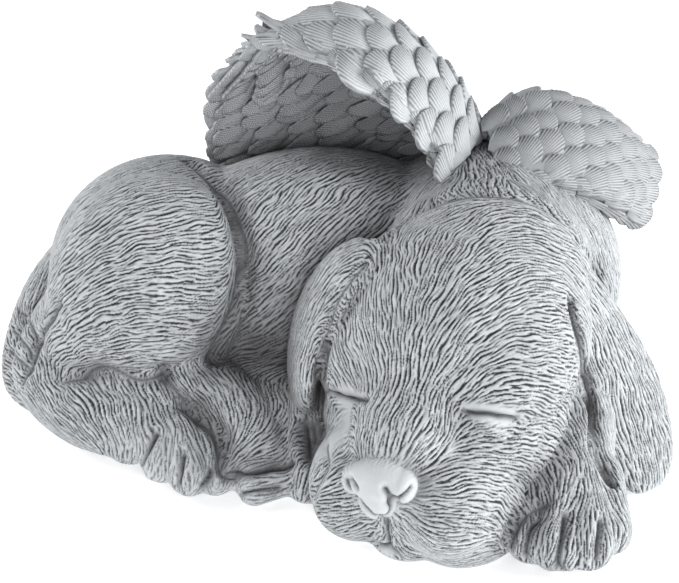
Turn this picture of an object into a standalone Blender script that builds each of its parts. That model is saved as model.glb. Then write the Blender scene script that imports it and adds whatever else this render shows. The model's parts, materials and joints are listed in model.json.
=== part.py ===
"""Sleeping puppy with angel wings, a garden memorial cast in one piece.

Metres, +Z up. The face looks towards -Y, the tail lies at -X and the free ear at +X.
The figure's forms are given in grid units, of which LENGTH holds FIGURE_UNITS, so that its pose and
carving are shares of its length.
"""
import math

import bmesh
import bpy
import numpy as np
from mathutils import Euler, Matrix, Vector

# Driving sizes, in metres
LENGTH = 0.225
WING_THICKNESS = 0.0065
EAR_THICKNESS = 0.0085
COVERT_LENGTH = 0.0110
COVERT_WIDTH = 0.0082
COVERT_LIFT = 0.0022
FLIGHT_LENGTH = 0.0300
FLIGHT_WIDTH = 0.0085
CLAY_GRAIN = 0.0012
GROUND_SNAP = 0.0003

# The figure's grid and the number of faces that the finished solid keeps
FIGURE_UNITS = 225.0
UNIT = LENGTH / FIGURE_UNITS
FACES = 9600

STONE_COLOUR = (0.47, 0.50, 0.52, 1.0)
STONE_ROUGHNESS = 0.85


def clear_scene():
    for old in list(bpy.data.objects):
        bpy.data.objects.remove(old)


def head_frame():
    """The head's own frame: x towards the nose, y towards the puppy's left, z towards the crown."""
    yaw, dip, roll = 27.0, 8.0, 8.0
    spin = (Matrix.Rotation(math.radians(-90 - yaw), 4, "Z")
            @ Matrix.Rotation(math.radians(dip), 4, "Y")
            @ Matrix.Rotation(math.radians(roll), 4, "X"))
    return Matrix.Translation((39, -10, 46)) @ spin


BODY = Matrix.Identity(4)
HEAD = head_frame()


def ball(clay, centre, radii, turn=(0, 0, 0), frame=BODY, fineness=4):
    """A ball stretched to three radii, and turned by angles in degrees."""
    spin = frame.to_3x3() @ Euler([math.radians(a) for a in turn]).to_matrix()
    place = (spin @ Matrix.Diagonal(Vector(radii) * UNIT)).to_4x4()
    place.translation = frame @ Vector(centre) * UNIT
    bmesh.ops.create_icosphere(clay, subdivisions=fineness, radius=1.0, matrix=place)


def along(stations, share):
    """What the smooth curve through the stations gives at a share of its run."""
    last = len(stations) - 1
    step = min(int(share * last), last - 1)
    s = share * last - step
    before, start, end, after = (
        np.asarray(stations[min(max(step + k, 0), last)], float) for k in (-1, 0, 1, 2))
    return 0.5 * (2 * start + (end - before) * s + (2 * before - 5 * start + 4 * end - after) * s ** 2
                  + (3 * start - before - 3 * end + after) * s ** 3)


def limb(clay, stations, frame=BODY, steps=20):
    """A rounded limb through stations of x, y, z and radius."""
    for step in range(steps + 1):
        x, y, z, radius = along(stations, step / steps)
        ball(clay, (x, y, z), (radius, radius, radius), frame=frame, fineness=3)


def flap(clay, stations, thickness, steps=18, sides=20):
    """A flat tongue, such as an ear: stations of x, y, z, half width and the width's direction."""
    rings = []
    for step in range(steps + 1):
        share = step / steps
        here = along(stations, share)
        ahead = along(stations, min(share + 0.02, 1.0))
        behind = along(stations, max(share - 0.02, 0.0))
        run = Vector((ahead - behind)[:3]).normalized()
        across = Vector(here[4:7])
        across = (across - run * across.dot(run)).normalized()
        out = run.cross(across)
        rounding = math.sqrt(max(0.05, 1 - abs(2 * share - 1) ** 6))
        axes = (across * here[3] * UNIT * rounding, out * thickness / 2 * rounding, run)
        place = Matrix(axes).transposed().to_4x4()
        place.translation = Vector(here[:3]) * UNIT
        ring = bmesh.ops.create_circle(clay, segments=sides, radius=1.0, matrix=place)
        rings.append(ring["verts"])
    for first, second in zip(rings, rings[1:]):
        loops = {e for v in first + second for e in v.link_edges if len(e.link_faces) < 2}
        loops = [e for e in loops if (e.verts[0] in first) == (e.verts[1] in first)]
        bmesh.ops.bridge_loops(clay, edges=loops)
    for ring in (rings[0], rings[-1]):
        clay.faces.new(ring)
    bmesh.ops.recalc_face_normals(clay, faces=clay.faces)


def gathered(lumps):
    """Several lumps of clay as one, still overlapping."""
    clay = bmesh.new()
    for lump in lumps:
        mesh = lump
        if isinstance(lump, bmesh.types.BMesh):
            mesh = bpy.data.meshes.new("lump")
            lump.to_mesh(mesh)
            lump.free()
        clay.from_mesh(mesh)
        bpy.data.meshes.remove(mesh)
    return clay


def fused(clay, grain, relax):
    """Overlapping shapes as one skin: remeshed at a grain, then relaxed so many times."""
    mesh = bpy.data.meshes.new("clay")
    clay.to_mesh(mesh)
    clay.free()
    lump = bpy.data.objects.new("clay", mesh)
    bpy.context.scene.collection.objects.link(lump)
    remesh = lump.modifiers.new("one_skin", "REMESH")
    remesh.mode = "VOXEL"
    remesh.voxel_size = grain
    smooth = lump.modifiers.new("relax", "SMOOTH")
    smooth.factor = 0.5
    smooth.iterations = relax
    graph = bpy.context.evaluated_depsgraph_get()
    skin = bpy.data.meshes.new_from_object(lump.evaluated_get(graph))
    bpy.data.objects.remove(lump)
    return skin


def carved(skin, lines):
    """Presses a groove into a skin along each line of points, given with its width and depth."""
    places = np.empty(len(skin.vertices) * 3, np.float32)
    normals = np.empty(len(skin.vertices) * 3, np.float32)
    skin.vertices.foreach_get("co", places)
    skin.vertex_normals.foreach_get("vector", normals)
    places, normals = places.reshape(-1, 3) / UNIT, normals.reshape(-1, 3)
    press = np.zeros(len(places))
    for points, width, depth in lines:
        nearest = np.full(len(places), 1e9)
        for start, end in zip(np.array(points[:-1], float), np.array(points[1:], float)):
            run = end - start
            share = np.clip((places - start) @ run / (run @ run), 0, 1)
            nearest = np.minimum(nearest, np.linalg.norm(places - start - share[:, None] * run, axis=1))
        press += depth * np.exp(-(nearest / width) ** 2)
    places = (places - normals * press[:, None]) * UNIT
    skin.vertices.foreach_set("co", places.astype(np.float32).ravel())
    return skin


def head():
    clay = bmesh.new()
    ball(clay, (0, 0, 0), (43, 41, 39), frame=HEAD)
    ball(clay, (-20, 0, 6), (36, 35, 34), frame=HEAD)
    ball(clay, (12, 0, 8), (29, 34, 26), frame=HEAD)
    for side in (-1, 1):
        ball(clay, (14, side * 20, 2), (26, 22, 22), frame=HEAD)
        ball(clay, (26, side * 18, -14), (22, 19, 19), frame=HEAD)
        ball(clay, (13, side * 19, -28), (29, 22, 23), frame=HEAD)
        ball(clay, (47, side * 14, -23), (22, 18, 19), (0, 0, side * 10), frame=HEAD)
        ball(clay, (34, side * 22, 0), (9, 9, 7), frame=HEAD)
    ball(clay, (36, 15, -34), (28, 20, 20), frame=HEAD)
    ball(clay, (46, -16, -26), (22, 18, 18), frame=HEAD)
    ball(clay, (38, 0, -2), (27, 19, 16), (0, 20, 0), frame=HEAD)
    ball(clay, (54, 1, -20), (15, 15, 15), frame=HEAD)
    ball(clay, (52, 1, -32), (16, 14, 14), frame=HEAD)
    return fused(clay, CLAY_GRAIN, 14)


def nose():
    clay = bmesh.new()
    ball(clay, (66, 1, -5), (7, 10, 5.5), (0, 20, 0), frame=HEAD)
    for side in (-1, 1):
        ball(clay, (65, 1 + side * 8, -6.5), (5.5, 4, 5), frame=HEAD)
    ball(clay, (68, 1, -11), (5.5, 6, 6.5), frame=HEAD)
    return clay


def trunk():
    clay = bmesh.new()
    ball(clay, (-6, 37, 41), (58, 36, 43))
    ball(clay, (-57, 37, 39), (42, 38, 41.5), (0, 0, -12))
    ball(clay, (56, 32, 42), (39, 36, 41))
    ball(clay, (-18, 6, 10), (44, 30, 20))
    # The broad foot that the casting stands on
    ball(clay, (-56, 37, 14), (40, 37, 30))
    ball(clay, (-6, 38, 12), (54, 36, 30))
    ball(clay, (54, 32, 14), (37, 35, 30))
    ball(clay, (72, 4, 32), (16, 18, 30))
    limb(clay, [(46, 36, 52, 35), (48, 18, 52, 36), (46, 0, 50, 36)], steps=10)
    return fused(clay, CLAY_GRAIN * 1.3, 16)


def haunch():
    """The near thigh, which stands out from the flank with a crease round it."""
    clay = bmesh.new()
    ball(clay, (-62, 17, 46), (34, 31, 40), (0, 12, 8))
    ball(clay, (-75, 18, 30), (26, 26, 26))
    ball(clay, (-60, 2, 20), (26, 20, 18))
    return fused(clay, CLAY_GRAIN, 10)


def feet():
    clay = bmesh.new()
    # The near hind leg's hock and foot, then its toes
    limb(clay, [(-86, 22, 28, 17), (-96, 12, 17, 14), (-84, -4, 14, 14), (-66, -12, 13, 14)])
    limb(clay, [(-73, -8, 17, 10), (-68, -17, 9, 8.5)], steps=8)
    limb(clay, [(-59, -12, 16, 9), (-57, -27, 8.5, 7.8)], steps=8)
    limb(clay, [(-51, -18, 14, 8), (-47.5, -34, 7.5, 7)], steps=8)
    limb(clay, [(-44, -20, 12, 7), (-39.5, -33.5, 6, 6)], steps=8)
    # The second foot, from under the belly, whose toes point to the side
    limb(clay, [(-53, 4, 24, 10.5), (-42, -5, 21, 11), (-32, -12, 17, 11), (-25, -20, 10, 10)])
    limb(clay, [(-19, -18, 9, 7), (-31, -25, 9, 6.5)], steps=8)
    limb(clay, [(-17, -25, 6, 6.5), (-29.5, -32, 5.5, 6.2)], steps=8)
    limb(clay, [(-17, -31, 4, 6), (-27, -37, 4, 5.5)], steps=8)
    # What shows between that foot and the muzzle
    limb(clay, [(-8, -14, 22, 9), (-9, -28, 10, 8), (-10, -34, 3, 6.5)], steps=12)
    # The fore paw that the cheek lies on
    limb(clay, [(72, -20, 20, 17), (71, -38, 16, 15), (70, -50, 13, 13)])
    limb(clay, [(62, -48, 15, 8.5), (58, -66, 7.5, 7.6)], steps=8)
    limb(clay, [(67, -50, 17, 8.5), (66, -70, 8, 8.2)], steps=8)
    limb(clay, [(74, -49, 17, 8.5), (75, -69, 8, 8.2)], steps=8)
    limb(clay, [(80, -45, 15, 8.5), (82, -62, 7.5, 7.6)], steps=8)
    return fused(clay, CLAY_GRAIN, 3)


def tail():
    clay = bmesh.new()
    limb(clay, [(-84, 46, 42, 13), (-97, 42, 28, 12), (-105, 30, 16, 10), (-106, 16, 10, 8), (-99, 8, 7, 6)])
    return clay


def free_ear():
    """The ear that hangs clear of the cheek, over the fore paw."""
    clay = bmesh.new()
    stations = [
        (73, -3, 68, 9, -0.5, -1, 0.3),
        (79, -7, 53, 13, -0.7, -0.9, 0.2),
        (84, -12, 39, 16.5, -0.8, -0.75, 0),
        (90.5, -18, 23, 19, -0.8, -0.7, 0),
        (95, -26, 9, 17, -0.8, -0.7, 0),
        (97, -34, 0, 10, -0.8, -0.7, 0),
    ]
    flap(clay, stations, EAR_THICKNESS)
    return clay


def near_ear():
    """The ear that hangs on the side of the flank, seen from its edge."""
    clay = bmesh.new()
    stations = [
        (14, -6, 77, 9, 0.6, -1, 0.1),
        (1, -11, 68, 12, 0.4, -1, 0),
        (-9, -13, 50, 14, 0.25, -1, 0),
        (-12, -15, 32, 13, 0.2, -1, 0),
        (-9, -18, 16, 7, 0.2, -1, 0),
    ]
    flap(clay, stations, EAR_THICKNESS)
    return clay


# The wings' middle sheets, in rows from root to tip, each from the leading to the trailing edge
NEAR_WING = [
    [(34, 26, 82), (40, 37, 87), (45, 49, 83), (48, 58, 72)],
    [(26, 20, 102), (31, 35, 111), (35, 50, 103), (41, 63, 70)],
    [(12, 14, 120), (12, 35, 130), (16, 56, 114), (22, 67, 66)],
    [(-7, 22, 129), (-7, 40, 132), (-4, 59, 113), (-3, 68, 66)],
    [(-23, 36, 129), (-32, 47, 113), (-40, 55, 97), (-40, 58, 74)],
]
FAR_WING = [
    [(50, 28, 80), (50, 40, 87), (48, 50, 86), (48, 60, 72)],
    [(69, 27, 79), (67, 42, 91), (64, 58, 94), (61, 70, 78)],
    [(86, 29, 73), (88, 44, 86), (84, 59, 88), (79, 73, 72)],
    [(99, 35, 63), (103, 46, 73), (101, 58, 76), (94, 69, 61)],
]
# Which way a wing's outer side lies to its rows
NEAR_SIDE = -1
FAR_SIDE = 1


def sheet_frame(rows, side, span, chord):
    """Place on a wing's middle sheet, direction to the tip, direction across and outward normal."""
    def place(s, c):
        return Vector(along([along(row, c) for row in rows], s))

    small = 0.01
    tipward = place(min(span + small, 1), chord) - place(max(span - small, 0), chord)
    across = place(span, min(chord + small, 1)) - place(span, max(chord - small, 0))
    normal = tipward.cross(across).normalized() * side
    return place(span, chord) * UNIT, tipward.normalized(), across.normalized(), normal


def half_thickness(span):
    return WING_THICKNESS / 2 * (1.25 - 0.5 * span)


def wing_sheet(rows, side, spans=26, chords=18):
    """A wing's own thickness, thinner towards the tip and rounded at its edges."""
    clay = bmesh.new()
    bmesh.ops.create_grid(clay, x_segments=spans, y_segments=chords, size=1.0)
    lifts = []
    for vert in clay.verts:
        span, chord = (vert.co.x + 1) / 2, (vert.co.y + 1) / 2
        place, _, _, normal = sheet_frame(rows, side, span, chord)
        rounding = math.sqrt(max(0.1, 1 - (2 * abs(chord - 0.5)) ** 4))
        vert.co = place
        lifts.append(normal * half_thickness(span) * rounding)
    outer = clay.verts[:]
    made = bmesh.ops.extrude_face_region(clay, geom=clay.faces[:])
    inner = [v for v in made["geom"] if isinstance(v, bmesh.types.BMVert)]
    for vert, copy, lift in zip(outer, inner, lifts):
        vert.co += lift
        copy.co -= lift
    bmesh.ops.recalc_face_normals(clay, faces=clay.faces)
    return clay


def feather(clay, place, run, normal, length, width, lift):
    """A feather's rounded body, which lifts off the wing towards its free end."""
    tilt = math.atan2(2 * lift, length)
    axis = run * math.cos(tilt) + normal * math.sin(tilt)
    side = axis.cross(normal).normalized()
    shape = Matrix((axis * length / 2, side * width / 2, side.cross(axis) * lift)).transposed().to_4x4()
    shape.translation = place
    bmesh.ops.create_icosphere(clay, subdivisions=2, radius=1.0, matrix=shape)


def spaced(place, gap, offset):
    """Shares of a curve at even distances along it, starting a part of a gap in."""
    shares = np.linspace(0, 1, 41)
    points = np.array([place(share) for share in shares])
    lengths = np.append(0, np.cumsum(np.linalg.norm(np.diff(points, axis=0), axis=1)))
    count = round(lengths[-1] / gap)
    return np.interp(lengths[-1] * (np.arange(count + 1) + offset) / count, lengths, shares)


def coverts(rows, side):
    """Rows of small rounded feathers over a wing's outer side, each row set off by half a feather."""
    clay = bmesh.new()
    for rank, span in enumerate(spaced(lambda s: sheet_frame(rows, side, s, 0.4)[0], COVERT_LENGTH * 0.66, 0)):
        gap = COVERT_WIDTH * 0.93
        for chord in spaced(lambda c: sheet_frame(rows, side, span, c)[0], gap, 0.5 * (rank % 2)):
            place, tipward, across, normal = sheet_frame(rows, side, span, chord)
            place = place + normal * (half_thickness(span) + COVERT_LIFT * 0.5)
            feather(clay, place, tipward, normal, COVERT_LENGTH, COVERT_WIDTH, COVERT_LIFT)
    return clay


def flights(rows, side, columns):
    """Long feathers under a wing, which run back and out from the leading edge in three rows."""
    clay = bmesh.new()
    for chord in (0.25, 0.55, 0.8):
        for column in range(columns):
            place, tipward, across, normal = sheet_frame(rows, -side, (column + 0.6) / columns, chord)
            place = place + normal * half_thickness(chord)
            run = (across + tipward * 0.7).normalized()
            feather(clay, place, run, normal, FLIGHT_LENGTH, FLIGHT_WIDTH, COVERT_LIFT * 0.6)
    return clay


# What is pressed into the skin: each line of points, then its width and depth
CARVING = [
    # The closed eyes and the lids' edges
    ([(-4.5, -27.6, 36.3), (-1.1, -35.3, 40.2), (2, -37.6, 40.3), (5.3, -43.4, 44), (8, -48.3, 46.8)], 1.1, 1.7),
    ([(37, -55.4, 47.5), (40.4, -56.9, 48.1), (44.2, -57.5, 48.2), (48.2, -57.2, 46.6), (52.2, -55.7, 45.1)],
     1.1, 1.7),
    ([(36.7, -56.4, 45.3), (41.4, -58.7, 43.2), (43, -59, 40.5), (48.4, -58.6, 39.1), (52.7, -56.3, 40),
      (58.6, -52.4, 42)], 1.8, 0.8),
    # The nostrils, the nose's rim, the lip and the mouth
    ([(13.3, -75.1, 34), (14.2, -75.8, 32.3), (15.4, -74.7, 28.8), (16.3, -74.2, 27.7)], 1.3, 2),
    ([(2.8, -68.2, 32.3), (4.3, -71, 31.5), (4.6, -71.4, 30.7)], 1.3, 2),
    ([(21.2, -73.7, 33.6), (17.1, -75.8, 30.8), (15.5, -73.8, 25.1), (12, -73.6, 22), (7.8, -74, 25.3),
      (4.3, -69.2, 27.5), (1.6, -67.2, 31.1)], 1.4, 1),
    ([(12, -74.4, 23), (13, -73, 16), (12.7, -71, 9), (13.7, -70, 5)], 1.3, 1.5),
    ([(7, -67, 2.5), (10, -69, 4), (13.7, -70, 5), (17, -70, 3)], 1.4, 1.8),
    # Where the cheek meets the paw and the muzzle meets the foot
    ([(62, -62.2, 19), (55.1, -64.2, 15.5), (52, -67.2, 12.2), (50.9, -68.3, 8.8)], 2, 2),
    ([(-5.4, -42.4, 27.5), (-4.7, -53.3, 26.2), (-7.8, -54, 17.1), (-8, -50, 8)], 2, 1.5),
    # Between the fore paw's toes
    ([(59.2, -65.8, 16.1), (56.9, -68.8, 14.2), (56.2, -71.5, 11.9), (55.4, -72.5, 8.9), (55.6, -72.2, 4.7)],
     1.8, 2.2),
    ([(67.9, -67.2, 17.9), (67, -71.1, 16.2), (66.3, -73.7, 14.8), (65.5, -76.5, 12.5), (65.1, -77.8, 8.2),
      (66, -75.2, 2.2)], 1.8, 2.4),
    ([(79.2, -67.2, 16.1), (78.1, -72, 14.6), (77.3, -75, 12.5), (77.2, -76.4, 7.1)], 1.8, 2.2),
    # Between the near hind foot's toes
    ([(-58.4, -25.8, 18), (-61.8, -30, 13.6), (-64, -30, 6)], 1.8, 2),
    ([(-49.4, -33.3, 15.3), (-50.5, -38.4, 11.6), (-51.3, -39.4, 7.3)], 1.8, 2),
    ([(-40, -35.3, 11.6), (-42.1, -38.9, 7.7), (-43, -40, 4)], 1.6, 1.8),
    # Between the two feet, and between the second foot's toes
    ([(-56.2, -12.9, 31.9), (-51.5, -15.7, 25.6), (-45.4, -19.1, 19.8), (-38.5, -24.5, 15.4),
      (-36.9, -33.8, 11.3), (-35.3, -36.5, 8.6)], 2.4, 3),
    ([(-34.4, -35.7, 8.8), (-26.7, -35.3, 10.1), (-20.8, -33.1, 10), (-15.7, -32.9, 11.1)], 1.6, 1.8),
    ([(-31.8, -39.2, 3.9), (-25.7, -41, 6.9), (-18.8, -38.3, 5.2)], 1.4, 1.4),
    # Round the thigh
    ([(-89.7, -7.9, 26.1), (-82.4, -7.6, 27.9), (-75.5, -10.1, 31.5), (-64.2, -14, 30.3),
      (-56.2, -12.9, 31.9)], 3, 2),
    ([(-49.8, 45.1, 78.5), (-38.4, 29.5, 75.7), (-32.1, 15.2, 68.9), (-30.4, 8.2, 59.9), (-32.1, 3, 49.9),
      (-36, -1.6, 41.3), (-40.4, -3.9, 33.1)], 3, 3),
    # Behind the crown, and along the ears
    ([(9.5, -2.4, 77.3), (19.5, 8, 78), (31.6, 6.5, 84.9), (44, 5.6, 88.2), (56.5, 4.9, 87.2),
      (69.3, 4.2, 80.7), (77.8, 3.6, 70.2), (84.5, 10.4, 54.8)], 2.5, 2.2),
    ([(7.8, -15.3, 75.3), (1.7, -19.3, 69.4), (-1.4, -21.1, 65.1), (-3.5, -24.4, 58.1), (-4.5, -26.3, 51.9),
      (-5.8, -27.3, 41.4)], 2, 2),
    ([(71.1, -23.5, 66.6), (71.9, -27.3, 62.5), (74.5, -29.3, 52.1), (78.3, -29.2, 33.3), (80.2, -44.8, 25.5),
      (83.4, -52.5, 19.8)], 2, 2),
]


def cut_at_ground(skin):
    """Takes off what lies below the ground and closes the cut flat."""
    clay = bmesh.new()
    clay.from_mesh(skin)
    cut = bmesh.ops.bisect_plane(
        clay, geom=clay.verts[:] + clay.edges[:] + clay.faces[:], dist=1e-6,
        plane_co=(0, 0, 0), plane_no=(0, 0, -1), clear_outer=True)
    rim = [e for e in cut["geom_cut"] if isinstance(e, bmesh.types.BMEdge)]
    bmesh.ops.holes_fill(clay, edges=rim)
    bmesh.ops.triangulate(clay, faces=clay.faces)
    clay.to_mesh(skin)
    clay.free()
    return skin


def thinned(skin):
    """The casting with as many faces as FACES allows, standing on z = 0 with its middle at the origin."""
    lump = bpy.data.objects.new("lump", skin)
    bpy.context.scene.collection.objects.link(lump)
    decimate = lump.modifiers.new("thin", "DECIMATE")
    decimate.ratio = min(1.0, FACES / len(skin.polygons))
    decimate.use_collapse_triangulate = True
    graph = bpy.context.evaluated_depsgraph_get()
    mesh = bpy.data.meshes.new_from_object(lump.evaluated_get(graph))
    bpy.data.objects.remove(lump)
    places = np.array([v.co[:] for v in mesh.vertices])
    places[places[:, 2] < GROUND_SNAP, 2] = 0
    places[:, :2] -= (places[:, :2].max(axis=0) + places[:, :2].min(axis=0)) / 2
    mesh.vertices.foreach_set("co", places.astype(np.float32).ravel())
    mesh.name = "sleeping_puppy"
    statue = bpy.data.objects.new("sleeping_puppy", mesh)
    bpy.context.scene.collection.objects.link(statue)
    return statue


def stone():
    material = bpy.data.materials.new("cast_stone")
    material.use_nodes = True
    shader = material.node_tree.nodes["Principled BSDF"]
    shader.inputs["Base Color"].default_value = STONE_COLOUR
    shader.inputs["Roughness"].default_value = STONE_ROUGHNESS
    shader.inputs["Metallic"].default_value = 0.0
    return material


def main():
    clear_scene()
    figure = fused(gathered([
        trunk(), haunch(), feet(), tail(), head(), nose(), free_ear(), near_ear(),
        wing_sheet(NEAR_WING, NEAR_SIDE), coverts(NEAR_WING, NEAR_SIDE),
        flights(NEAR_WING, NEAR_SIDE, 13), flights(FAR_WING, FAR_SIDE, 7),
        wing_sheet(FAR_WING, FAR_SIDE), coverts(FAR_WING, FAR_SIDE),
    ]), CLAY_GRAIN, 1)
    statue = thinned(cut_at_ground(carved(figure, CARVING)))
    statue.data.materials.append(stone())
    statue.data.shade_smooth()


main()
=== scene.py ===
# %% [markdown]
# # A sleeping puppy with angel wings
# The real object is a small garden memorial, about 22 cm long: a curled puppy asleep on its fore paw,
# with two feathered wings on its back. It is one casting in pale grey stone resin, taken from a
# carved master. This lesson starts from the plain solid of the casting, grows a finer skin on it,
# carves the coat and the face, lays the feathers on the wings, and then sets stone, light and camera.

import json
import math

import bmesh
import bpy
import numpy as np
from mathutils import Euler, Matrix, Vector
from mathutils.bvhtree import BVHTree

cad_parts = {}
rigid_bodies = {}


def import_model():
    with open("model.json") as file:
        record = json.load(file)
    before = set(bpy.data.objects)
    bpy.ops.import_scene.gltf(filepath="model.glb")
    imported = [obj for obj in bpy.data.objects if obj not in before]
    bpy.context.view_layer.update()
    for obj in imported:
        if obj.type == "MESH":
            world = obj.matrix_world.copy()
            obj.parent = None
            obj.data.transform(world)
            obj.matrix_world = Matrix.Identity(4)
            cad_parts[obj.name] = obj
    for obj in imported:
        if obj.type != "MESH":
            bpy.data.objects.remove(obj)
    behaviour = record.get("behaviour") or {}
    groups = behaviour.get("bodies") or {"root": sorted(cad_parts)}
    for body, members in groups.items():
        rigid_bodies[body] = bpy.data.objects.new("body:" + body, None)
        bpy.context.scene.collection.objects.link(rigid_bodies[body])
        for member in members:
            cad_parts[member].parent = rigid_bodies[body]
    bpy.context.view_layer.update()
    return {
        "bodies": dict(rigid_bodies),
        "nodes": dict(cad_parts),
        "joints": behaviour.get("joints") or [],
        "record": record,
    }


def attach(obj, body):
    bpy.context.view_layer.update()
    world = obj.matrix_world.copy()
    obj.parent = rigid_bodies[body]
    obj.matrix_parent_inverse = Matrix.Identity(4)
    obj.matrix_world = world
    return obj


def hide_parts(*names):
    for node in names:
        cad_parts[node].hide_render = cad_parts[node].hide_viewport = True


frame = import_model()

# %% [markdown]
# ## A grid to carve by
# A carver measures from the block. Every line below is given in millimetres on a grid whose middle
# lies a little beside the casting's own, so one function turns grid places into metres in the frame.
# Meshes of this size are moved with numpy, which reads and writes all the points of a mesh at once.

# %% Places on the grid
MM = 0.001
GRID_MIDDLE = np.array([2.95, -0.25, 0.0])


def metres(places):
    """Grid millimetres as metres in the frame."""
    return (np.asarray(places, float) + GRID_MIDDLE) * MM


def read_points(mesh):
    flat = np.empty(len(mesh.vertices) * 3, np.float32)
    mesh.vertices.foreach_get("co", flat)
    return flat.reshape(-1, 3)


def read_normals(mesh):
    flat = np.empty(len(mesh.vertices) * 3, np.float32)
    mesh.vertex_normals.foreach_get("vector", flat)
    return flat.reshape(-1, 3)


def write_points(mesh, points):
    mesh.vertices.foreach_set("co", np.asarray(points, np.float32).ravel())
    mesh.update()


print("grid middle in metres:", metres([0, 0, 0]))

# %% [markdown]
# ## Clay to model with
# A modeller builds a puppy from balls and rolls of clay before any carving. The same is done here:
# a ball is an icosphere stretched to three radii, and a limb is a row of balls along a smooth curve
# through a few stations. Ears are flat tongues, made of rings that are bridged. Sculpting by hand
# would also do, but lumps with named places can be moved and measured.

# %% Balls and limbs
BODY = Matrix.Identity(4)


def ball(clay, centre, radii, turn=(0, 0, 0), frame=BODY, fineness=4):
    """A ball stretched to three radii, and turned by angles in degrees."""
    spin = frame.to_3x3() @ Euler([math.radians(a) for a in turn]).to_matrix()
    place = (spin @ Matrix.Diagonal(Vector(radii) * MM)).to_4x4()
    place.translation = metres(frame @ Vector(centre))
    bmesh.ops.create_icosphere(clay, subdivisions=fineness, radius=1.0, matrix=place)


def along(stations, share):
    """What the smooth curve through the stations gives at a share of its run."""
    last = len(stations) - 1
    step = min(int(share * last), last - 1)
    s = share * last - step
    before, start, end, after = (
        np.asarray(stations[min(max(step + k, 0), last)], float) for k in (-1, 0, 1, 2))
    return 0.5 * (2 * start + (end - before) * s + (2 * before - 5 * start + 4 * end - after) * s ** 2
                  + (3 * start - before - 3 * end + after) * s ** 3)


def limb(clay, stations, frame=BODY, steps=20):
    """A rounded limb through stations of x, y, z and radius."""
    for step in range(steps + 1):
        x, y, z, radius = along(stations, step / steps)
        ball(clay, (x, y, z), (radius, radius, radius), frame=frame, fineness=3)


print("a limb of 20 steps has", 21 * 320, "faces before it is fused")


# %% Ears as flat tongues
EAR_THICKNESS = 8.5 * MM


def flap(clay, stations, thickness, steps=18, sides=20):
    """A flat tongue: stations of x, y, z, half width and the width's direction."""
    rings = []
    for step in range(steps + 1):
        share = step / steps
        here = along(stations, share)
        ahead = along(stations, min(share + 0.02, 1.0))
        behind = along(stations, max(share - 0.02, 0.0))
        run = Vector((ahead - behind)[:3]).normalized()
        across = Vector(here[4:7])
        across = (across - run * across.dot(run)).normalized()
        rounding = math.sqrt(max(0.05, 1 - abs(2 * share - 1) ** 6))
        axes = (across * here[3] * MM * rounding, run.cross(across) * thickness / 2 * rounding, run)
        place = Matrix(axes).transposed().to_4x4()
        place.translation = metres(here[:3])
        ring = bmesh.ops.create_circle(clay, segments=sides, radius=1.0, matrix=place)
        rings.append(ring["verts"])
    for first, second in zip(rings, rings[1:]):
        loops = {e for v in first + second for e in v.link_edges if len(e.link_faces) < 2}
        loops = [e for e in loops if (e.verts[0] in first) == (e.verts[1] in first)]
        bmesh.ops.bridge_loops(clay, edges=loops)
    for ring in (rings[0], rings[-1]):
        clay.faces.new(ring)
    bmesh.ops.recalc_face_normals(clay, faces=clay.faces)


print("an ear is", EAR_THICKNESS * 1000, "mm thick")


# %% Fusing lumps into one skin
CLAY_GRAIN = 1.2 * MM


def gathered(lumps):
    """Several lumps of clay as one mesh, still overlapping."""
    clay = bmesh.new()
    for lump in lumps:
        mesh = lump
        if isinstance(lump, bmesh.types.BMesh):
            mesh = bpy.data.meshes.new("lump")
            lump.to_mesh(mesh)
            lump.free()
        clay.from_mesh(mesh)
        bpy.data.meshes.remove(mesh)
    return clay


def fused(clay, grain, relax):
    """Overlapping lumps as one skin: remeshed at a grain, then relaxed so many times."""
    mesh = bpy.data.meshes.new("clay")
    clay.to_mesh(mesh)
    clay.free()
    lump = bpy.data.objects.new("clay", mesh)
    bpy.context.scene.collection.objects.link(lump)
    remesh = lump.modifiers.new("one_skin", "REMESH")
    remesh.mode = "VOXEL"
    remesh.voxel_size = grain
    smooth = lump.modifiers.new("relax", "SMOOTH")
    smooth.factor = 0.5
    smooth.iterations = relax
    graph = bpy.context.evaluated_depsgraph_get()
    skin = bpy.data.meshes.new_from_object(lump.evaluated_get(graph))
    bpy.data.objects.remove(lump)
    return skin


print("clay is fused at", CLAY_GRAIN * 1000, "mm")

# %% [markdown]
# ## The body
# The puppy lies curled, with its rump high on one side and its chest on the other. The trunk is five
# large balls with broader ones below, so that the casting meets the ground in a wide flat foot. The
# near thigh is a lump of its own, because it stands out with a crease round it.


# %% Trunk and thigh
def trunk():
    clay = bmesh.new()
    ball(clay, (-6, 37, 41), (58, 36, 43))
    ball(clay, (-57, 37, 39), (42, 38, 41.5), (0, 0, -12))
    ball(clay, (56, 32, 42), (39, 36, 41))
    ball(clay, (-18, 6, 10), (44, 30, 20))
    # The broad foot that the casting stands on
    ball(clay, (-56, 37, 14), (40, 37, 30))
    ball(clay, (-6, 38, 12), (54, 36, 30))
    ball(clay, (54, 32, 14), (37, 35, 30))
    ball(clay, (72, 4, 32), (16, 18, 30))
    limb(clay, [(46, 36, 52, 35), (48, 18, 52, 36), (46, 0, 50, 36)], steps=10)
    return fused(clay, CLAY_GRAIN * 1.3, 16)


def haunch():
    """The near thigh, which stands out from the flank with a crease round it."""
    clay = bmesh.new()
    ball(clay, (-62, 17, 46), (34, 31, 40), (0, 12, 8))
    ball(clay, (-75, 18, 30), (26, 26, 26))
    ball(clay, (-60, 2, 20), (26, 20, 18))
    return fused(clay, CLAY_GRAIN, 10)


body_clay = [trunk(), haunch()]
print("body:", sum(len(mesh.polygons) for mesh in body_clay), "faces")

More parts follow.
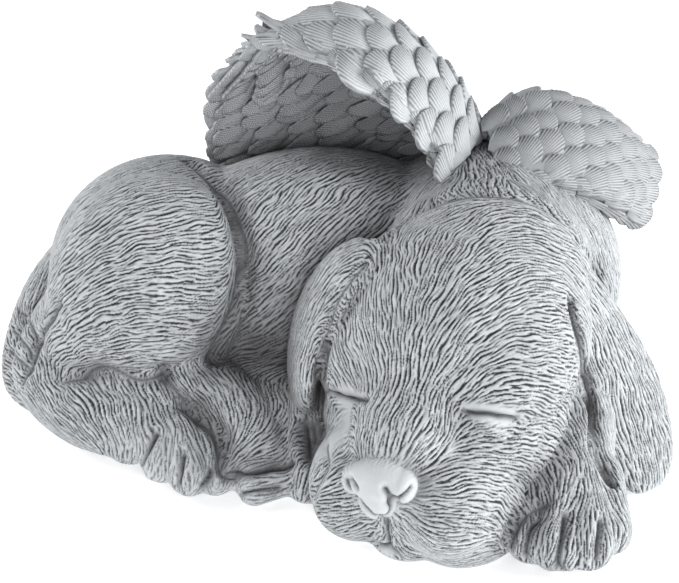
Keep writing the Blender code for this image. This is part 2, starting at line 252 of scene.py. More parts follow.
# %% [markdown]
# ## Feet and tail
# Each leg is a limb that thins to the foot, and each toe is a short limb of its own, so that the gaps
# between toes are real. The tail curls forward round the rump.


# %% Feet and tail
def feet():
    clay = bmesh.new()
    # The near hind leg's hock and foot, then its toes
    limb(clay, [(-86, 22, 28, 17), (-96, 12, 17, 14), (-84, -4, 14, 14), (-66, -12, 13, 14)])
    limb(clay, [(-73, -8, 17, 10), (-68, -17, 9, 8.5)], steps=8)
    limb(clay, [(-59, -12, 16, 9), (-57, -27, 8.5, 7.8)], steps=8)
    limb(clay, [(-51, -18, 14, 8), (-47.5, -34, 7.5, 7)], steps=8)
    limb(clay, [(-44, -20, 12, 7), (-39.5, -33.5, 6, 6)], steps=8)
    # The second foot, from under the belly, whose toes point to the side
    limb(clay, [(-53, 4, 24, 10.5), (-42, -5, 21, 11), (-32, -12, 17, 11), (-25, -20, 10, 10)])
    limb(clay, [(-19, -18, 9, 7), (-31, -25, 9, 6.5)], steps=8)
    limb(clay, [(-17, -25, 6, 6.5), (-29.5, -32, 5.5, 6.2)], steps=8)
    limb(clay, [(-17, -31, 4, 6), (-27, -37, 4, 5.5)], steps=8)
    # What shows between that foot and the muzzle
    limb(clay, [(-8, -14, 22, 9), (-9, -28, 10, 8), (-10, -34, 3, 6.5)], steps=12)
    # The fore paw that the cheek lies on
    limb(clay, [(72, -20, 20, 17), (71, -38, 16, 15), (70, -50, 13, 13)])
    limb(clay, [(62, -48, 15, 8.5), (58, -66, 7.5, 7.6)], steps=8)
    limb(clay, [(67, -50, 17, 8.5), (66, -70, 8, 8.2)], steps=8)
    limb(clay, [(74, -49, 17, 8.5), (75, -69, 8, 8.2)], steps=8)
    limb(clay, [(80, -45, 15, 8.5), (82, -62, 7.5, 7.6)], steps=8)
    return fused(clay, CLAY_GRAIN, 3)


def tail():
    clay = bmesh.new()
    limb(clay, [(-84, 46, 42, 13), (-97, 42, 28, 12), (-105, 30, 16, 10), (-106, 16, 10, 8), (-99, 8, 7, 6)])
    return clay


leg_clay = [feet(), tail()]
print("feet: four toes on the near hind foot, three on the second and four on the fore paw")

# %% [markdown]
# ## The head
# The head has a frame of its own, turned and tipped to lie on the paw, so that its forms can be given
# from nose to crown as on an upright head. Cheeks, brows and flews are balls on each side. The nose
# is a separate small lump that keeps a crisper shape than the muzzle behind it.


# %% Head and nose
def head_frame():
    """The head's own frame: x towards the nose, y towards the puppy's left, z towards the crown."""
    yaw, dip, roll = 27.0, 8.0, 8.0
    spin = (Matrix.Rotation(math.radians(-90 - yaw), 4, "Z")
            @ Matrix.Rotation(math.radians(dip), 4, "Y")
            @ Matrix.Rotation(math.radians(roll), 4, "X"))
    return Matrix.Translation((39, -10, 46)) @ spin


HEAD = head_frame()


def head():
    clay = bmesh.new()
    ball(clay, (0, 0, 0), (43, 41, 39), frame=HEAD)
    ball(clay, (-20, 0, 6), (36, 35, 34), frame=HEAD)
    ball(clay, (12, 0, 8), (29, 34, 26), frame=HEAD)
    for side in (-1, 1):
        ball(clay, (14, side * 20, 2), (26, 22, 22), frame=HEAD)
        ball(clay, (26, side * 18, -14), (22, 19, 19), frame=HEAD)
        ball(clay, (13, side * 19, -28), (29, 22, 23), frame=HEAD)
        ball(clay, (47, side * 14, -23), (22, 18, 19), (0, 0, side * 10), frame=HEAD)
        ball(clay, (34, side * 22, 0), (9, 9, 7), frame=HEAD)
    ball(clay, (36, 15, -34), (28, 20, 20), frame=HEAD)
    ball(clay, (46, -16, -26), (22, 18, 18), frame=HEAD)
    ball(clay, (38, 0, -2), (27, 19, 16), (0, 20, 0), frame=HEAD)
    ball(clay, (54, 1, -20), (15, 15, 15), frame=HEAD)
    ball(clay, (52, 1, -32), (16, 14, 14), frame=HEAD)
    return fused(clay, CLAY_GRAIN, 14)


def nose():
    clay = bmesh.new()
    ball(clay, (66, 1, -5), (7, 10, 5.5), (0, 20, 0), frame=HEAD)
    for side in (-1, 1):
        ball(clay, (65, 1 + side * 8, -6.5), (5.5, 4, 5), frame=HEAD)
    ball(clay, (68, 1, -11), (5.5, 6, 6.5), frame=HEAD)
    return clay


head_clay = [head(), nose()]
print("head:", len(head_clay[0].polygons), "faces")


# %% Ears
def free_ear():
    """The ear that hangs clear of the cheek, over the fore paw."""
    clay = bmesh.new()
    stations = [
        (73, -3, 68, 9, -0.5, -1, 0.3),
        (79, -7, 53, 13, -0.7, -0.9, 0.2),
        (84, -12, 39, 16.5, -0.8, -0.75, 0),
        (90.5, -18, 23, 19, -0.8, -0.7, 0),
        (95, -26, 9, 17, -0.8, -0.7, 0),
        (97, -34, 0, 10, -0.8, -0.7, 0),
    ]
    flap(clay, stations, EAR_THICKNESS)
    return clay


def near_ear():
    """The ear that hangs on the side of the flank, seen from its edge."""
    clay = bmesh.new()
    stations = [
        (14, -6, 77, 9, 0.6, -1, 0.1),
        (1, -11, 68, 12, 0.4, -1, 0),
        (-9, -13, 50, 14, 0.25, -1, 0),
        (-12, -15, 32, 13, 0.2, -1, 0),
        (-9, -18, 16, 7, 0.2, -1, 0),
    ]
    flap(clay, stations, EAR_THICKNESS)
    return clay


ear_clay = [free_ear(), near_ear()]
print("ears:", len(ear_clay))

# %% [markdown]
# ## One skin
# All the lumps become one skin, remeshed to less than half a millimetre and relaxed. That is fine
# enough to carry each lock of the coat as real relief, which a bump map can't do at an edge that is
# seen against the light.

# %% The skin
SKIN_GRAIN = 0.42 * MM

skin = fused(gathered(body_clay + leg_clay + head_clay + ear_clay), SKIN_GRAIN, 5)
print("skin:", len(skin.polygons), "faces")

# %% [markdown]
# ## The wings' sheets
# Each wing is a thick curved sheet under its feathers. A net of a few points says where its middle
# runs, in rows from root to tip, each from the leading to the trailing edge. A flat grid is moved
# onto the net, extruded to give it a wall, and the wall is thinner towards the tip and the edges.

# %% The wings' nets
WING_THICKNESS = 6.5 * MM
NEAR_WING = [
    [(34, 26, 82), (40, 37, 87), (45, 49, 83), (48, 58, 72)],
    [(26, 20, 102), (31, 35, 111), (35, 50, 103), (41, 63, 70)],
    [(12, 14, 120), (12, 35, 130), (16, 56, 114), (22, 67, 66)],
    [(-7, 22, 129), (-7, 40, 132), (-4, 59, 113), (-3, 68, 66)],
    [(-23, 36, 129), (-32, 47, 113), (-40, 55, 97), (-40, 58, 74)],
]
FAR_WING = [
    [(50, 28, 80), (50, 40, 87), (48, 50, 86), (48, 60, 72)],
    [(69, 27, 79), (67, 42, 91), (64, 58, 94), (61, 70, 78)],
    [(86, 29, 73), (88, 44, 86), (84, 59, 88), (79, 73, 72)],
    [(99, 35, 63), (103, 46, 73), (101, 58, 76), (94, 69, 61)],
]
# Which way a wing's outer side lies to its rows
NEAR_SIDE = -1
FAR_SIDE = 1


def on_sheet(net, side, span, chord):
    """Place on a wing's middle sheet, direction to the tip, direction across and outward normal."""
    def place(s, c):
        return metres(along([along(row, c) for row in net], s))

    small = 0.01
    tipward = place(min(span + small, 1), chord) - place(max(span - small, 0), chord)
    across = place(span, min(chord + small, 1)) - place(span, max(chord - small, 0))
    normal = np.cross(tipward, across) * side
    return place(span, chord), *(v / np.linalg.norm(v) for v in (tipward, across, normal))


# %% Sheets with a wall
def wing_core(net, side, spans=44, chords=32):
    """A wing's own thickness, thinner towards the tip and rounded at its edges."""
    clay = bmesh.new()
    bmesh.ops.create_grid(clay, x_segments=spans, y_segments=chords, size=1.0)
    lifts = []
    for vert in clay.verts:
        span, chord = (vert.co.x + 1) / 2, (vert.co.y + 1) / 2
        place, _, _, normal = on_sheet(net, side, span, chord)
        edge = max(abs(2 * chord - 1), 2 * span - 1)
        rounding = math.sqrt(max(0.08, 1 - edge ** 6))
        vert.co = place
        lifts.append(Vector(normal * WING_THICKNESS / 2 * (1.25 - 0.5 * span) * rounding))
    outer = clay.verts[:]
    made = bmesh.ops.extrude_face_region(clay, geom=clay.faces[:])
    inner = [v for v in made["geom"] if isinstance(v, bmesh.types.BMVert)]
    for vert, copy, lift in zip(outer, inner, lifts):
        vert.co += lift
        copy.co -= lift
    bmesh.ops.recalc_face_normals(clay, faces=clay.faces)
    core = bpy.data.meshes.new("wing_core")
    clay.to_mesh(core)
    clay.free()
    return core


near_core = wing_core(NEAR_WING, NEAR_SIDE)
far_core = wing_core(FAR_WING, FAR_SIDE)
print("wing sheets:", len(near_core.polygons), "and", len(far_core.polygons), "faces")

# %% [markdown]
# ## Carving the creases
# The forms are parted with a broad gouge: round the thigh, behind the crown, along the ears and
# between the toes. A narrow one then draws what is crisp: closed eyes, nostrils and the lip. Each line
# presses the skin in along its normals, deepest in the middle, and a negative depth raises it. The
# lines could also be cut with Booleans, but a pressed groove keeps the soft shoulders that a carved
# one has. The places of the lines were picked on the picture and cast onto the model.


# %% Pressing lines into the skin
def line_distance(points, line):
    """How far each point is from a line, both in metres."""
    found = np.full(len(points), 1.0)
    for start, end in zip(line[:-1], line[1:]):
        run = end - start
        share = np.clip((points - start) @ run / (run @ run), 0, 1)
        apart = np.linalg.norm(points - start - share[:, None] * run, axis=1)
        found = np.minimum(found, apart)
    return found


def tree_of(*meshes):
    """A search tree over meshes, for rays and for the nearest place."""
    clay = bmesh.new()
    for mesh in meshes:
        clay.from_mesh(mesh)
    tree = BVHTree.FromBMesh(clay)
    clay.free()
    return tree


def laid_on(places, tree, parts=5):
    """A smooth line through grid places, laid on a mesh, in metres."""
    shares = np.linspace(0, 1, parts * (len(places) - 1) + 1)
    return np.array([tree.find_nearest(Vector(metres(along(places, share))))[0] for share in shares])


# A narrow slit in the middle of a crisp line, and the strip painted dark as shade, as shares of its width
SLIT_SHARE = 0.4
SHADE_SHARE = 0.55
# Shallower lines get no painted shade
SHADED_DEPTH = 0.9


def press(mesh, lines, sharpness=0.0):
    """Presses lines into a mesh, (places, width, depth) in millimetres, and says where shade is painted."""
    points, normals, tree = read_points(mesh), read_normals(mesh), tree_of(mesh)
    depths = np.zeros(len(points))
    shade_strip = np.zeros(len(points))
    for places, width, depth in lines:
        line = laid_on(places, tree)
        room = 3 * width * MM
        close = ((points > line.min(axis=0) - room) & (points < line.max(axis=0) + room)).all(axis=1)
        reach = line_distance(points[close], line) / (width * MM)
        profile = np.exp(-reach ** 2) + sharpness * np.exp(-(reach / SLIT_SHARE) ** 2)
        depths[close] += depth * MM * profile
        # A deep line is painted dark along its bottom, as shade
        if depth > SHADED_DEPTH:
            shade_strip[close] = np.maximum(shade_strip[close], np.exp(-(reach / SHADE_SHARE) ** 2))
    write_points(mesh, points - normals * depths[:, None])
    return shade_strip


CREASES = [
    # The closed eyes and the lids' edges
    ([(-4.5, -27.6, 36.3), (-1.1, -35.3, 40.2), (2, -37.6, 40.3), (5.3, -43.4, 44), (8, -48.3, 46.8)],
     1.1, 1.7),
    ([(37, -55.4, 47.5), (40.4, -56.9, 48.1), (44.2, -57.5, 48.2), (48.2, -57.2, 46.6), (52.2, -55.7, 45.1)],
     1.1, 1.7),
    ([(36.7, -56.4, 45.3), (41.4, -58.7, 43.2), (43, -59, 40.5), (48.4, -58.6, 39.1), (52.7, -56.3, 40),
      (58.6, -52.4, 42)], 1.8, 0.8),
    # The nostrils, the nose's rim, the lip and the mouth
    ([(13.3, -75.1, 34), (14.2, -75.8, 32.3), (15.4, -74.7, 28.8), (16.3, -74.2, 27.7)], 1.3, 2),
    ([(2.8, -68.2, 32.3), (4.3, -71, 31.5), (4.6, -71.4, 30.7)], 1.3, 2),
    ([(21.2, -73.7, 33.6), (17.1, -75.8, 30.8), (15.5, -73.8, 25.1), (12, -73.6, 22), (7.8, -74, 25.3),
      (4.3, -69.2, 27.5), (1.6, -67.2, 31.1)], 1.4, 1),
    ([(12, -74.4, 23), (13, -73, 16), (12.7, -71, 9), (13.7, -70, 5)], 1.3, 1.5),
    ([(7, -67, 2.5), (10, -69, 4), (13.7, -70, 5), (17, -70, 3)], 1.4, 1.8),
    # Where the cheek meets the paw and the muzzle meets the foot
    ([(62, -62.2, 19), (55.1, -64.2, 15.5), (52, -67.2, 12.2), (50.9, -68.3, 8.8)], 2, 2),
    ([(-5.4, -42.4, 27.5), (-4.7, -53.3, 26.2), (-7.8, -54, 17.1), (-8, -50, 8)], 2, 1.5),
    # Between the fore paw's toes
    ([(59.2, -65.8, 16.1), (56.9, -68.8, 14.2), (56.2, -71.5, 11.9), (55.4, -72.5, 8.9), (55.6, -72.2, 4.7)],
     1.8, 2.2),
    ([(67.9, -67.2, 17.9), (67, -71.1, 16.2), (66.3, -73.7, 14.8), (65.5, -76.5, 12.5), (65.1, -77.8, 8.2),
      (66, -75.2, 2.2)], 1.8, 2.4),
    ([(79.2, -67.2, 16.1), (78.1, -72, 14.6), (77.3, -75, 12.5), (77.2, -76.4, 7.1)], 1.8, 2.2),
    # Between the near hind foot's toes
    ([(-58.4, -25.8, 18), (-61.8, -30, 13.6), (-64, -30, 6)], 1.8, 2),
    ([(-49.4, -33.3, 15.3), (-50.5, -38.4, 11.6), (-51.3, -39.4, 7.3)], 1.8, 2),
    ([(-40, -35.3, 11.6), (-42.1, -38.9, 7.7), (-43, -40, 4)], 1.6, 1.8),
    # Between the two feet, and between the second foot's toes
    ([(-56.2, -12.9, 31.9), (-51.5, -15.7, 25.6), (-45.4, -19.1, 19.8), (-38.5, -24.5, 15.4),
      (-36.9, -33.8, 11.3), (-35.3, -36.5, 8.6)], 2.4, 3),
    ([(-34.4, -35.7, 8.8), (-26.7, -35.3, 10.1), (-20.8, -33.1, 10), (-15.7, -32.9, 11.1)], 1.6, 1.8),
    ([(-31.8, -39.2, 3.9), (-25.7, -41, 6.9), (-18.8, -38.3, 5.2)], 1.4, 1.4),
    # Round the thigh
    ([(-89.7, -7.9, 26.1), (-82.4, -7.6, 27.9), (-75.5, -10.1, 31.5), (-64.2, -14, 30.3),
      (-56.2, -12.9, 31.9)], 3, 2),
    ([(-49.8, 45.1, 78.5), (-38.4, 29.5, 75.7), (-32.1, 15.2, 68.9), (-30.4, 8.2, 59.9), (-32.1, 3, 49.9),
      (-36, -1.6, 41.3), (-40.4, -3.9, 33.1)], 3, 3),
    # Behind the crown, and along the ears
    ([(9.5, -2.4, 77.3), (19.5, 8, 78), (31.6, 6.5, 84.9), (44, 5.6, 88.2), (56.5, 4.9, 87.2),
      (69.3, 4.2, 80.7), (77.8, 3.6, 70.2), (84.5, 10.4, 54.8)], 2.5, 2.2),
    ([(7.8, -15.3, 75.3), (1.7, -19.3, 69.4), (-1.4, -21.1, 65.1), (-3.5, -24.4, 58.1), (-4.5, -26.3, 51.9),
      (-5.8, -27.3, 41.4)], 2, 2),
    ([(71.1, -23.5, 66.6), (71.9, -27.3, 62.5), (74.5, -29.3, 52.1), (78.3, -29.2, 33.3), (80.2, -44.8, 25.5),
      (83.4, -52.5, 19.8)], 2, 2),
]
BROAD = 2.0
BROAD_CREASES = [crease for crease in CREASES if crease[1] >= BROAD]
NARROW_CREASES = [crease for crease in CREASES if crease[1] < BROAD]
# In a broad crease the painted shade lies only at the very bottom
broad_shade = 0.85 * press(skin, BROAD_CREASES) ** 6
line_shade = np.maximum(press(skin, NARROW_CREASES, sharpness=0.35), broad_shade)
print("creases pressed:", len(BROAD_CREASES), "broad and", len(NARROW_CREASES), "narrow")

# %% Folds and gaps that need a finer skin
# Beside the free ear, in the corner behind the muzzle, and where the tail lies against the thigh
GAPS = [
    ([(70.3, -23.3, 64.7), (72.9, -26.8, 57.8), (75.7, -26.6, 48.4), (78.1, -24.1, 35.4),
      (78.2, -32.3, 29.7), (77.6, -44.5, 27.2), (79.8, -50.1, 21.8), (83.5, -52.8, 18.1)], 1.5, 2.2),
    ([(-12.2, -26.3, 21.5), (-10.6, -30.3, 18.5), (-9.3, -33.8, 15.2)], 3.0, 4.0),
    ([(-8.1, -27, 22), (-6.8, -30.3, 18.5)], 3.0, 3.0),
    ([(-90, -0.5, 50.6), (-95.1, 5.1, 40.1), (-99, 6.9, 30.7), (-101.8, 1.9, 25.3), (-105, 0.2, 19.3)],
     1.5, 2.2),
]
# The lids' edges stand proud, so their depth is below 0
LIDS = [
    ([(37.9, -54.5, 48.9), (41, -56.1, 49.7), (45.1, -56.7, 49.8), (49.3, -56.6, 48.7), (53.4, -55.2, 45.9)],
     0.9, -0.35),
    ([(-3.6, -26.1, 36), (-0.5, -34.3, 40.6), (3.2, -36.3, 40.5), (7.1, -44.6, 45.6)], 0.9, -0.35),
]
gap_shade = press(skin, GAPS)
press(skin, LIDS)
print("gaps pressed:", len(GAPS), "lids raised:", len(LIDS))

# %% The tail's thick strokes
TAIL_STROKES = [
    ([(-109, 30.7, 27.5), (-103, 14.9, 32.6), (-99.4, 7.2, 30.8)], 1.2, 1.0),
    ([(-111.7, 27, 22.6), (-105.5, 11.2, 28.2), (-101, 4.5, 27.5)], 1.2, 1.0),
    ([(-112.4, 20.7, 18.7), (-106.5, 6.6, 24.1), (-101.7, 0.3, 24.4)], 1.2, 1.0),
]
tail_shade = press(skin, TAIL_STROKES)
# The gaps and the tail's strokes are painted dark along their bottoms, as shade
line_shade = np.maximum(np.maximum(line_shade, tail_shade), gap_shade)
print("share of the skin in lines:", round(float((line_shade > 0.5).mean()), 4))

# %% [markdown]
# ## Which way the coat lies
# On the real puppy the locks run back from the nose over the brow, down the ears, round the thigh
# and out to the toes. Guide strokes say so, each a line of places in the direction of growth. They
# were picked on the picture and cast onto the model, and the back's were added. Right and left in
# their names are the picture's. Any point of the skin takes its direction from the strokes near it,
# and strokes on a surface that faces another way count less, so that the cheek and the ear beside
# it keep their own lie.

# %% Guide strokes
COAT_STROKES = {
    "bridge": [
        [(16, -66, 39), (21, -59, 47), (23, -50, 55), (25, -45, 66), (28, -36, 75), (32, -25, 82),
         (38, -8, 85)],
        [(8, -61, 38), (10, -56, 45), (14, -51, 50), (17, -45, 59), (19, -38, 69), (20, -28, 76),
         (22, -14, 81)],
        [(27, -67, 35), (34, -59, 41), (33, -53, 50), (35, -50, 61), (40, -44, 69), (48, -37, 75),
         (57, -26, 77)],
    ],
    "brow_right": [
        [(34, -57, 44), (37, -55, 51), (44, -55, 57), (53, -54, 57), (64, -48, 51), (73, -29, 36)],
        [(30, -54, 51), (34, -51, 58), (41, -50, 63), (52, -48, 65), (63, -44, 61), (72, -33, 54)],
        [(27, -49, 58), (33, -46, 67), (42, -42, 72), (54, -37, 72), (65, -32, 68), (71, -26, 62)],
        [(27, -43, 69), (33, -37, 75), (42, -32, 79), (54, -25, 79), (68, -19, 73), (73, -18, 67)],
        [(30, -31, 78), (38, -22, 83), (49, -13, 84), (62, -9, 81), (74, -4, 73)],
        [(37, -17, 84), (46, -5, 86), (58, -1, 86), (69, -2, 79)],
    ],
    "brow_left": [
        [(14, -51, 50), (12, -42, 57), (10, -34, 64), (9, -23, 70), (11, -16, 75)],
        [(8, -42, 48), (4, -33, 54), (2, -26, 59), (2, -23, 66), (5, -17, 71)],
        [(2, -35, 47), (-1, -29, 52), (-2, -24, 58)],
        [(18, -33, 72), (17, -22, 77), (16, -10, 78), (19, 8, 75)],
    ],
    "eye_right": [
        [(34, -56, 45), (41, -56, 52), (47, -56, 53), (55, -55, 50), (62, -49, 40)],
        [(39, -59, 40), (48, -59, 38), (57, -54, 38), (64, -45, 33)],
    ],
    "cheek_right": [
        [(24, -67, 35), (33, -63, 37), (42, -61, 37), (51, -60, 33), (61, -55, 22), (65, -60, 22)],
        [(24, -72, 29), (34, -72, 31), (45, -69, 28), (55, -62, 16), (58, -65, 14)],
        [(18, -71, 25), (27, -76, 25), (37, -76, 24), (46, -71, 17), (53, -68, 11)],
        [(15, -72, 20), (20, -70, 9), (27, -71, 4), (36, -73, 6), (45, -71, 9)],
        [(61, -52, 34), (67, -48, 28), (71, -53, 26)],
        [(65, -48, 47), (72, -38, 32), (74, -45, 29)],
    ],
    "muzzle_left": [
        [(2, -49, 33), (-3, -50, 28), (-5, -53, 22)],
        [(3, -62, 22), (-1, -60, 21), (-6, -58, 17)],
        [(6, -65, 16), (2, -64, 15), (-4, -60, 10)],
        [(11, -68, 13), (5, -62, 6)],
        [(5, -51, 41), (0, -42, 31), (-3, -44, 29)],
        [(10, -68, 38), (11, -59, 44), (15, -54, 49)],
    ],
    "ear_right": [
        [(77, -12, 63), (84, -12, 48), (91, -17, 33), (96, -24, 18), (99, -33, 5)],
        [(74, -19, 64), (79, -17, 48), (84, -23, 33), (85, -36, 23), (92, -36, 3)],
        [(85, 11, 52), (91, -6, 44), (99, -13, 27), (105, -21, 11)],
    ],
    "ear_left": [
        [(10, 10, 68), (0, -8, 74), (-8, -10, 64), (-13, -12, 52), (-16, -16, 39), (-15, -20, 29),
         (-11, -26, 23)],
        [(7, -12, 77), (-1, -16, 69), (-7, -22, 58), (-10, -26, 46), (-11, -27, 32)],
    ],
    "crown": [
        [(25, -4, 82), (31, 0, 84), (39, 0, 87)],
        [(45, 25, 87), (46, 14, 88), (45, 6, 87)],
        [(58, 24, 86), (64, 15, 84), (68, 9, 82)],
        [(32, 21, 84), (27, 17, 81), (23, 14, 78)],
        [(20, 33, 79), (10, 20, 77), (2, 11, 71), (-5, 7, 65)],
        [(80, 20, 72), (84, 15, 63), (88, 13, 51)],
    ],
    "flank": [
        [(30, 34, 83), (17, 32, 80), (3, 21, 79), (-9, 11, 71), (-19, 7, 63)],
        [(0, 33, 83), (-13, 24, 81), (-24, 15, 73), (-31, 13, 63)],
        [(0, 45, 82), (-16, 38, 83), (-28, 31, 80), (-36, 30, 75)],
        [(-6, 9, 69), (-16, 4, 58), (-24, 3, 50), (-31, 4, 45)],
        [(-13, 3, 54), (-21, 2, 43), (-29, 4, 36)],
        [(-19, -1, 29), (-29, -3, 28), (-37, -7, 30)],
        [(-19, 2, 39), (-28, 4, 32), (-34, 3, 30)],
    ],
    "haunch": [
        [(-38, 8, 73), (-50, 0, 76), (-62, -4, 75), (-75, -5, 69), (-85, -3, 59)],
        [(-39, -1, 65), (-51, -7, 69), (-65, -8, 69), (-77, -8, 62), (-88, -4, 50)],
        [(-40, -5, 55), (-52, -11, 59), (-66, -12, 60), (-77, -10, 55), (-90, -1, 39)],
        [(-43, -8, 46), (-55, -13, 50), (-68, -14, 49), (-81, -9, 43), (-95, 0, 28)],
        [(-43, 18, 80), (-54, 11, 84), (-66, 7, 83), (-77, 5, 77), (-88, 6, 67)],
        [(-50, 46, 76), (-61, 39, 80), (-74, 35, 77)],
        [(-54, -12, 39), (-67, -14, 39), (-80, -8, 33), (-96, -5, 25)],
        [(-37, 23, 72), (-34, 13, 65), (-34, 1, 55), (-38, 0, 42)],
        [(-13, 46, 82), (-25, 60, 75)],
    ],
    "tail": [
        [(-104, 31, 32), (-105, 15, 31)],
        [(-111, 29, 25), (-105, 10, 28), (-102, 3, 26)],
        [(-112, 20, 19), (-106, 4, 22), (-103, -2, 21)],
        [(-100, 39, 41), (-104, 35, 36)],
    ],
    "hind_foot": [
        [(-98, -6, 23), (-92, -14, 19), (-85, -20, 13)],
        [(-86, -7, 25), (-78, -19, 22), (-72, -25, 15)],
        [(-74, -11, 29), (-69, -20, 24), (-67, -26, 15), (-69, -25, 7)],
        [(-62, -14, 28), (-58, -21, 21), (-57, -31, 15), (-60, -34, 5)],
        [(-56, -16, 26), (-49, -24, 20), (-47, -35, 14), (-50, -40, 6)],
        [(-46, -24, 18), (-40, -31, 13), (-41, -39, 7)],
        [(-40, -27, 12), (-37, -34, 8), (-38, -39, 5)],
    ],
    "second_foot": [
        [(-48, -10, 33), (-42, -13, 29), (-37, -19, 24), (-35, -23, 19)],
        [(-39, -10, 30), (-30, -15, 27), (-29, -23, 21), (-32, -27, 16)],
        [(-29, -13, 27), (-23, -18, 23), (-25, -25, 19), (-30, -28, 15)],
        [(-17, -26, 16), (-25, -29, 15), (-33, -31, 12)],
        [(-16, -31, 13), (-25, -32, 11), (-34, -33, 10)],
        [(-16, -36, 9), (-24, -38, 9), (-33, -37, 6)],
        [(-17, -38, 3), (-24, -42, 4)],
        [(-12, -36, 11), (-12, -39, 6)],
    ],
    "fore_paw": [
        [(74, -56, 23), (65, -63, 20), (57, -67, 14), (53, -71, 7)],
        [(74, -57, 23), (69, -64, 19), (63, -72, 16), (61, -77, 9)],
        [(75, -56, 23), (74, -66, 19), (72, -74, 14), (72, -76, 4)],
        [(77, -56, 23), (80, -62, 18), (82, -68, 13)],
        [(79, -56, 21), (84, -60, 16), (86, -67, 12)],
    ],
}
BACK_STROKES = {
    "back": [
        [(70, 55, 70), (30, 70, 60), (-20, 74, 55), (-70, 70, 50)],
        [(60, 64, 40), (20, 74, 35), (-30, 75, 30), (-80, 66, 25)],
        [(-60, 45, 80), (-85, 55, 60), (-98, 50, 35), (-100, 45, 12)],
        [(40, 70, 15), (0, 75, 12), (-50, 74, 10)],
    ],
    "far_shoulder": [
        [(80, 50, 60), (86, 50, 35), (84, 52, 12)],
        [(90, 20, 55), (95, 22, 35), (92, 25, 12)],
    ],
}


def stroke_steps(strokes):
    """The middle and the direction of every step of every stroke."""
    middles, runs = [], []
    for stroke in (s for group in strokes.values() for s in group):
        places = metres(stroke)
        for start, end in zip(places[:-1], places[1:]):
            middles.append((start + end) / 2)
            runs.append((end - start) / np.linalg.norm(end - start))
    return middles, runs


skin_tree = tree_of(skin)
seen_middles, seen_runs = stroke_steps(COAT_STROKES)
back_middles, back_runs = stroke_steps(BACK_STROKES)
step_middles = np.array(seen_middles + back_middles)
step_runs = np.array(seen_runs + back_runs)
step_normals = np.array([skin_tree.find_nearest(Vector(m))[1] for m in step_middles])
print("steps of guide strokes:", len(step_middles))


# %% The lie of the coat at each point
# How far a stroke rules the coat, and how far it is still heard where no other is near, in millimetres
STROKE_REACH = 6.0
FAR_REACH = 25.0


def coat_directions(points, normals, chunk=8000):
    """The coat's direction at each point: the weighted mean of the strokes near it."""
    found = np.empty_like(points)
    for start in range(0, len(points), chunk):
        part = slice(start, start + chunk)
        here, facing = points[part], normals[part]
        squares = ((here ** 2).sum(axis=1)[:, None] + (step_middles ** 2).sum(axis=1)
                   - 2 * here @ step_middles.T) / MM ** 2
        alike = np.clip(facing @ step_normals.T, 0.05, 1) ** 2
        weights = (np.exp(-squares / (2 * STROKE_REACH ** 2))
                   + 1e-3 * np.exp(-squares / (2 * FAR_REACH ** 2)) + 1e-9 / (1 + squares)) * alike
        mean = weights @ step_runs
        mean -= facing * (mean * facing).sum(axis=1)[:, None]
        found[part] = mean / np.maximum(np.linalg.norm(mean, axis=1), 1e-12)[:, None]
    return found


skin_points, skin_normals = read_points(skin).astype(float), read_normals(skin).astype(float)
lie = coat_directions(skin_points, skin_normals)
print("directions found:", len(lie))

# %% [markdown]
# ## The locks
# The coat was cut with a small veiner: thin grooves, most of them 4 to 7 mm long, with ridges
# between, and the grooves are painted dark as shade. Random values in space, averaged along the coat's
# direction, give streaks that follow any surface with no seams. Taking off the values half a lock to
# each side leaves streaks of one width, as one tool cuts them. Their low values become grooves and the
# rest is left proud.

# %% Random values in space
rng = np.random.default_rng(7)
BLOCK_SIDE = 64
RANDOM_BLOCK = rng.random(BLOCK_SIDE ** 3).astype(np.float32)


def random_values(points, cell):
    """Smooth random values: a block of random numbers, blended between its cells."""
    scaled = points / cell
    base = np.floor(scaled).astype(np.int32)
    share = (scaled - base).astype(np.float32)
    share = share * share * (3 - 2 * share)
    last = BLOCK_SIDE - 1
    total = np.zeros(len(points), np.float32)
    for corner in range(8):
        steps = [(corner >> k) & 1 for k in range(3)]
        x, y, z = ((base[:, k] + steps[k]) & last for k in range(3))
        weight = 1
        for k in range(3):
            weight = weight * (share[:, k] if steps[k] else 1 - share[:, k])
        total += RANDOM_BLOCK[(x * BLOCK_SIDE + y) * BLOCK_SIDE + z] * weight
    return total


def streaks(points, directions, sideways, width, half_length, samples=13):
    """Random streaks of one width along a direction, with mean 0 and spread 1."""
    total = np.zeros(len(points), np.float32)
    for share in np.linspace(-1, 1, samples):
        weight = 0.5 + 0.5 * math.cos(math.pi * share)
        if weight < 1e-6:
            continue
        places = points + directions * half_length * share
        beside = (random_values(places + sideways * width, width)
                  + random_values(places - sideways * width, width))
        total += weight * (random_values(places, width) - 0.5 * beside)
    return (total - total.mean()) / total.std()


print("random block:", len(RANDOM_BLOCK), "numbers")


# %% Where the coat is carved
LOCK_WIDTH = 0.5 * MM
HALF_LOCK_LENGTH = 3.4 * MM
GROOVE_DEPTH = 0.42 * MM
RIDGE_HEIGHT = 0.12 * MM
# Places left smooth, with the radius of each in millimetres: the nose and the lower lip, the lid of
# the far eye, and the strip from the near eye down the cheek
SMOOTH_SPOTS = [
    ((12, -73, 32), 10), ((5, -70, 32), 8), ((19, -73, 33), 7), ((12, -74, 25), 6), ((14, -66, 4), 3.5),
    ((40.5, -56, 47.8), 3), ((44.8, -56.8, 47.2), 3.2), ((49.6, -56.6, 45.8), 3.2),
    ((2, -38, 40.5), 4), ((0, -42, 35), 5), ((-3, -44, 30), 5.5), ((-4, -44, 25), 5),
]
# The toes of both hind feet carry a shallower coat
SOFT_SPOTS = [((-62, -28, 8), 13), ((-50, -36, 8), 13), ((-38, -38, 5), 10), ((-25, -38, 6), 12)]
SOFTENING = 0.25
LID_WIDTH = 1.4 * MM


def ramp(values, low, high):
    """0 below low, 1 above high and smooth between."""
    share = np.clip((values - low) / (high - low), 0, 1)
    return share * share * (3 - 2 * share)


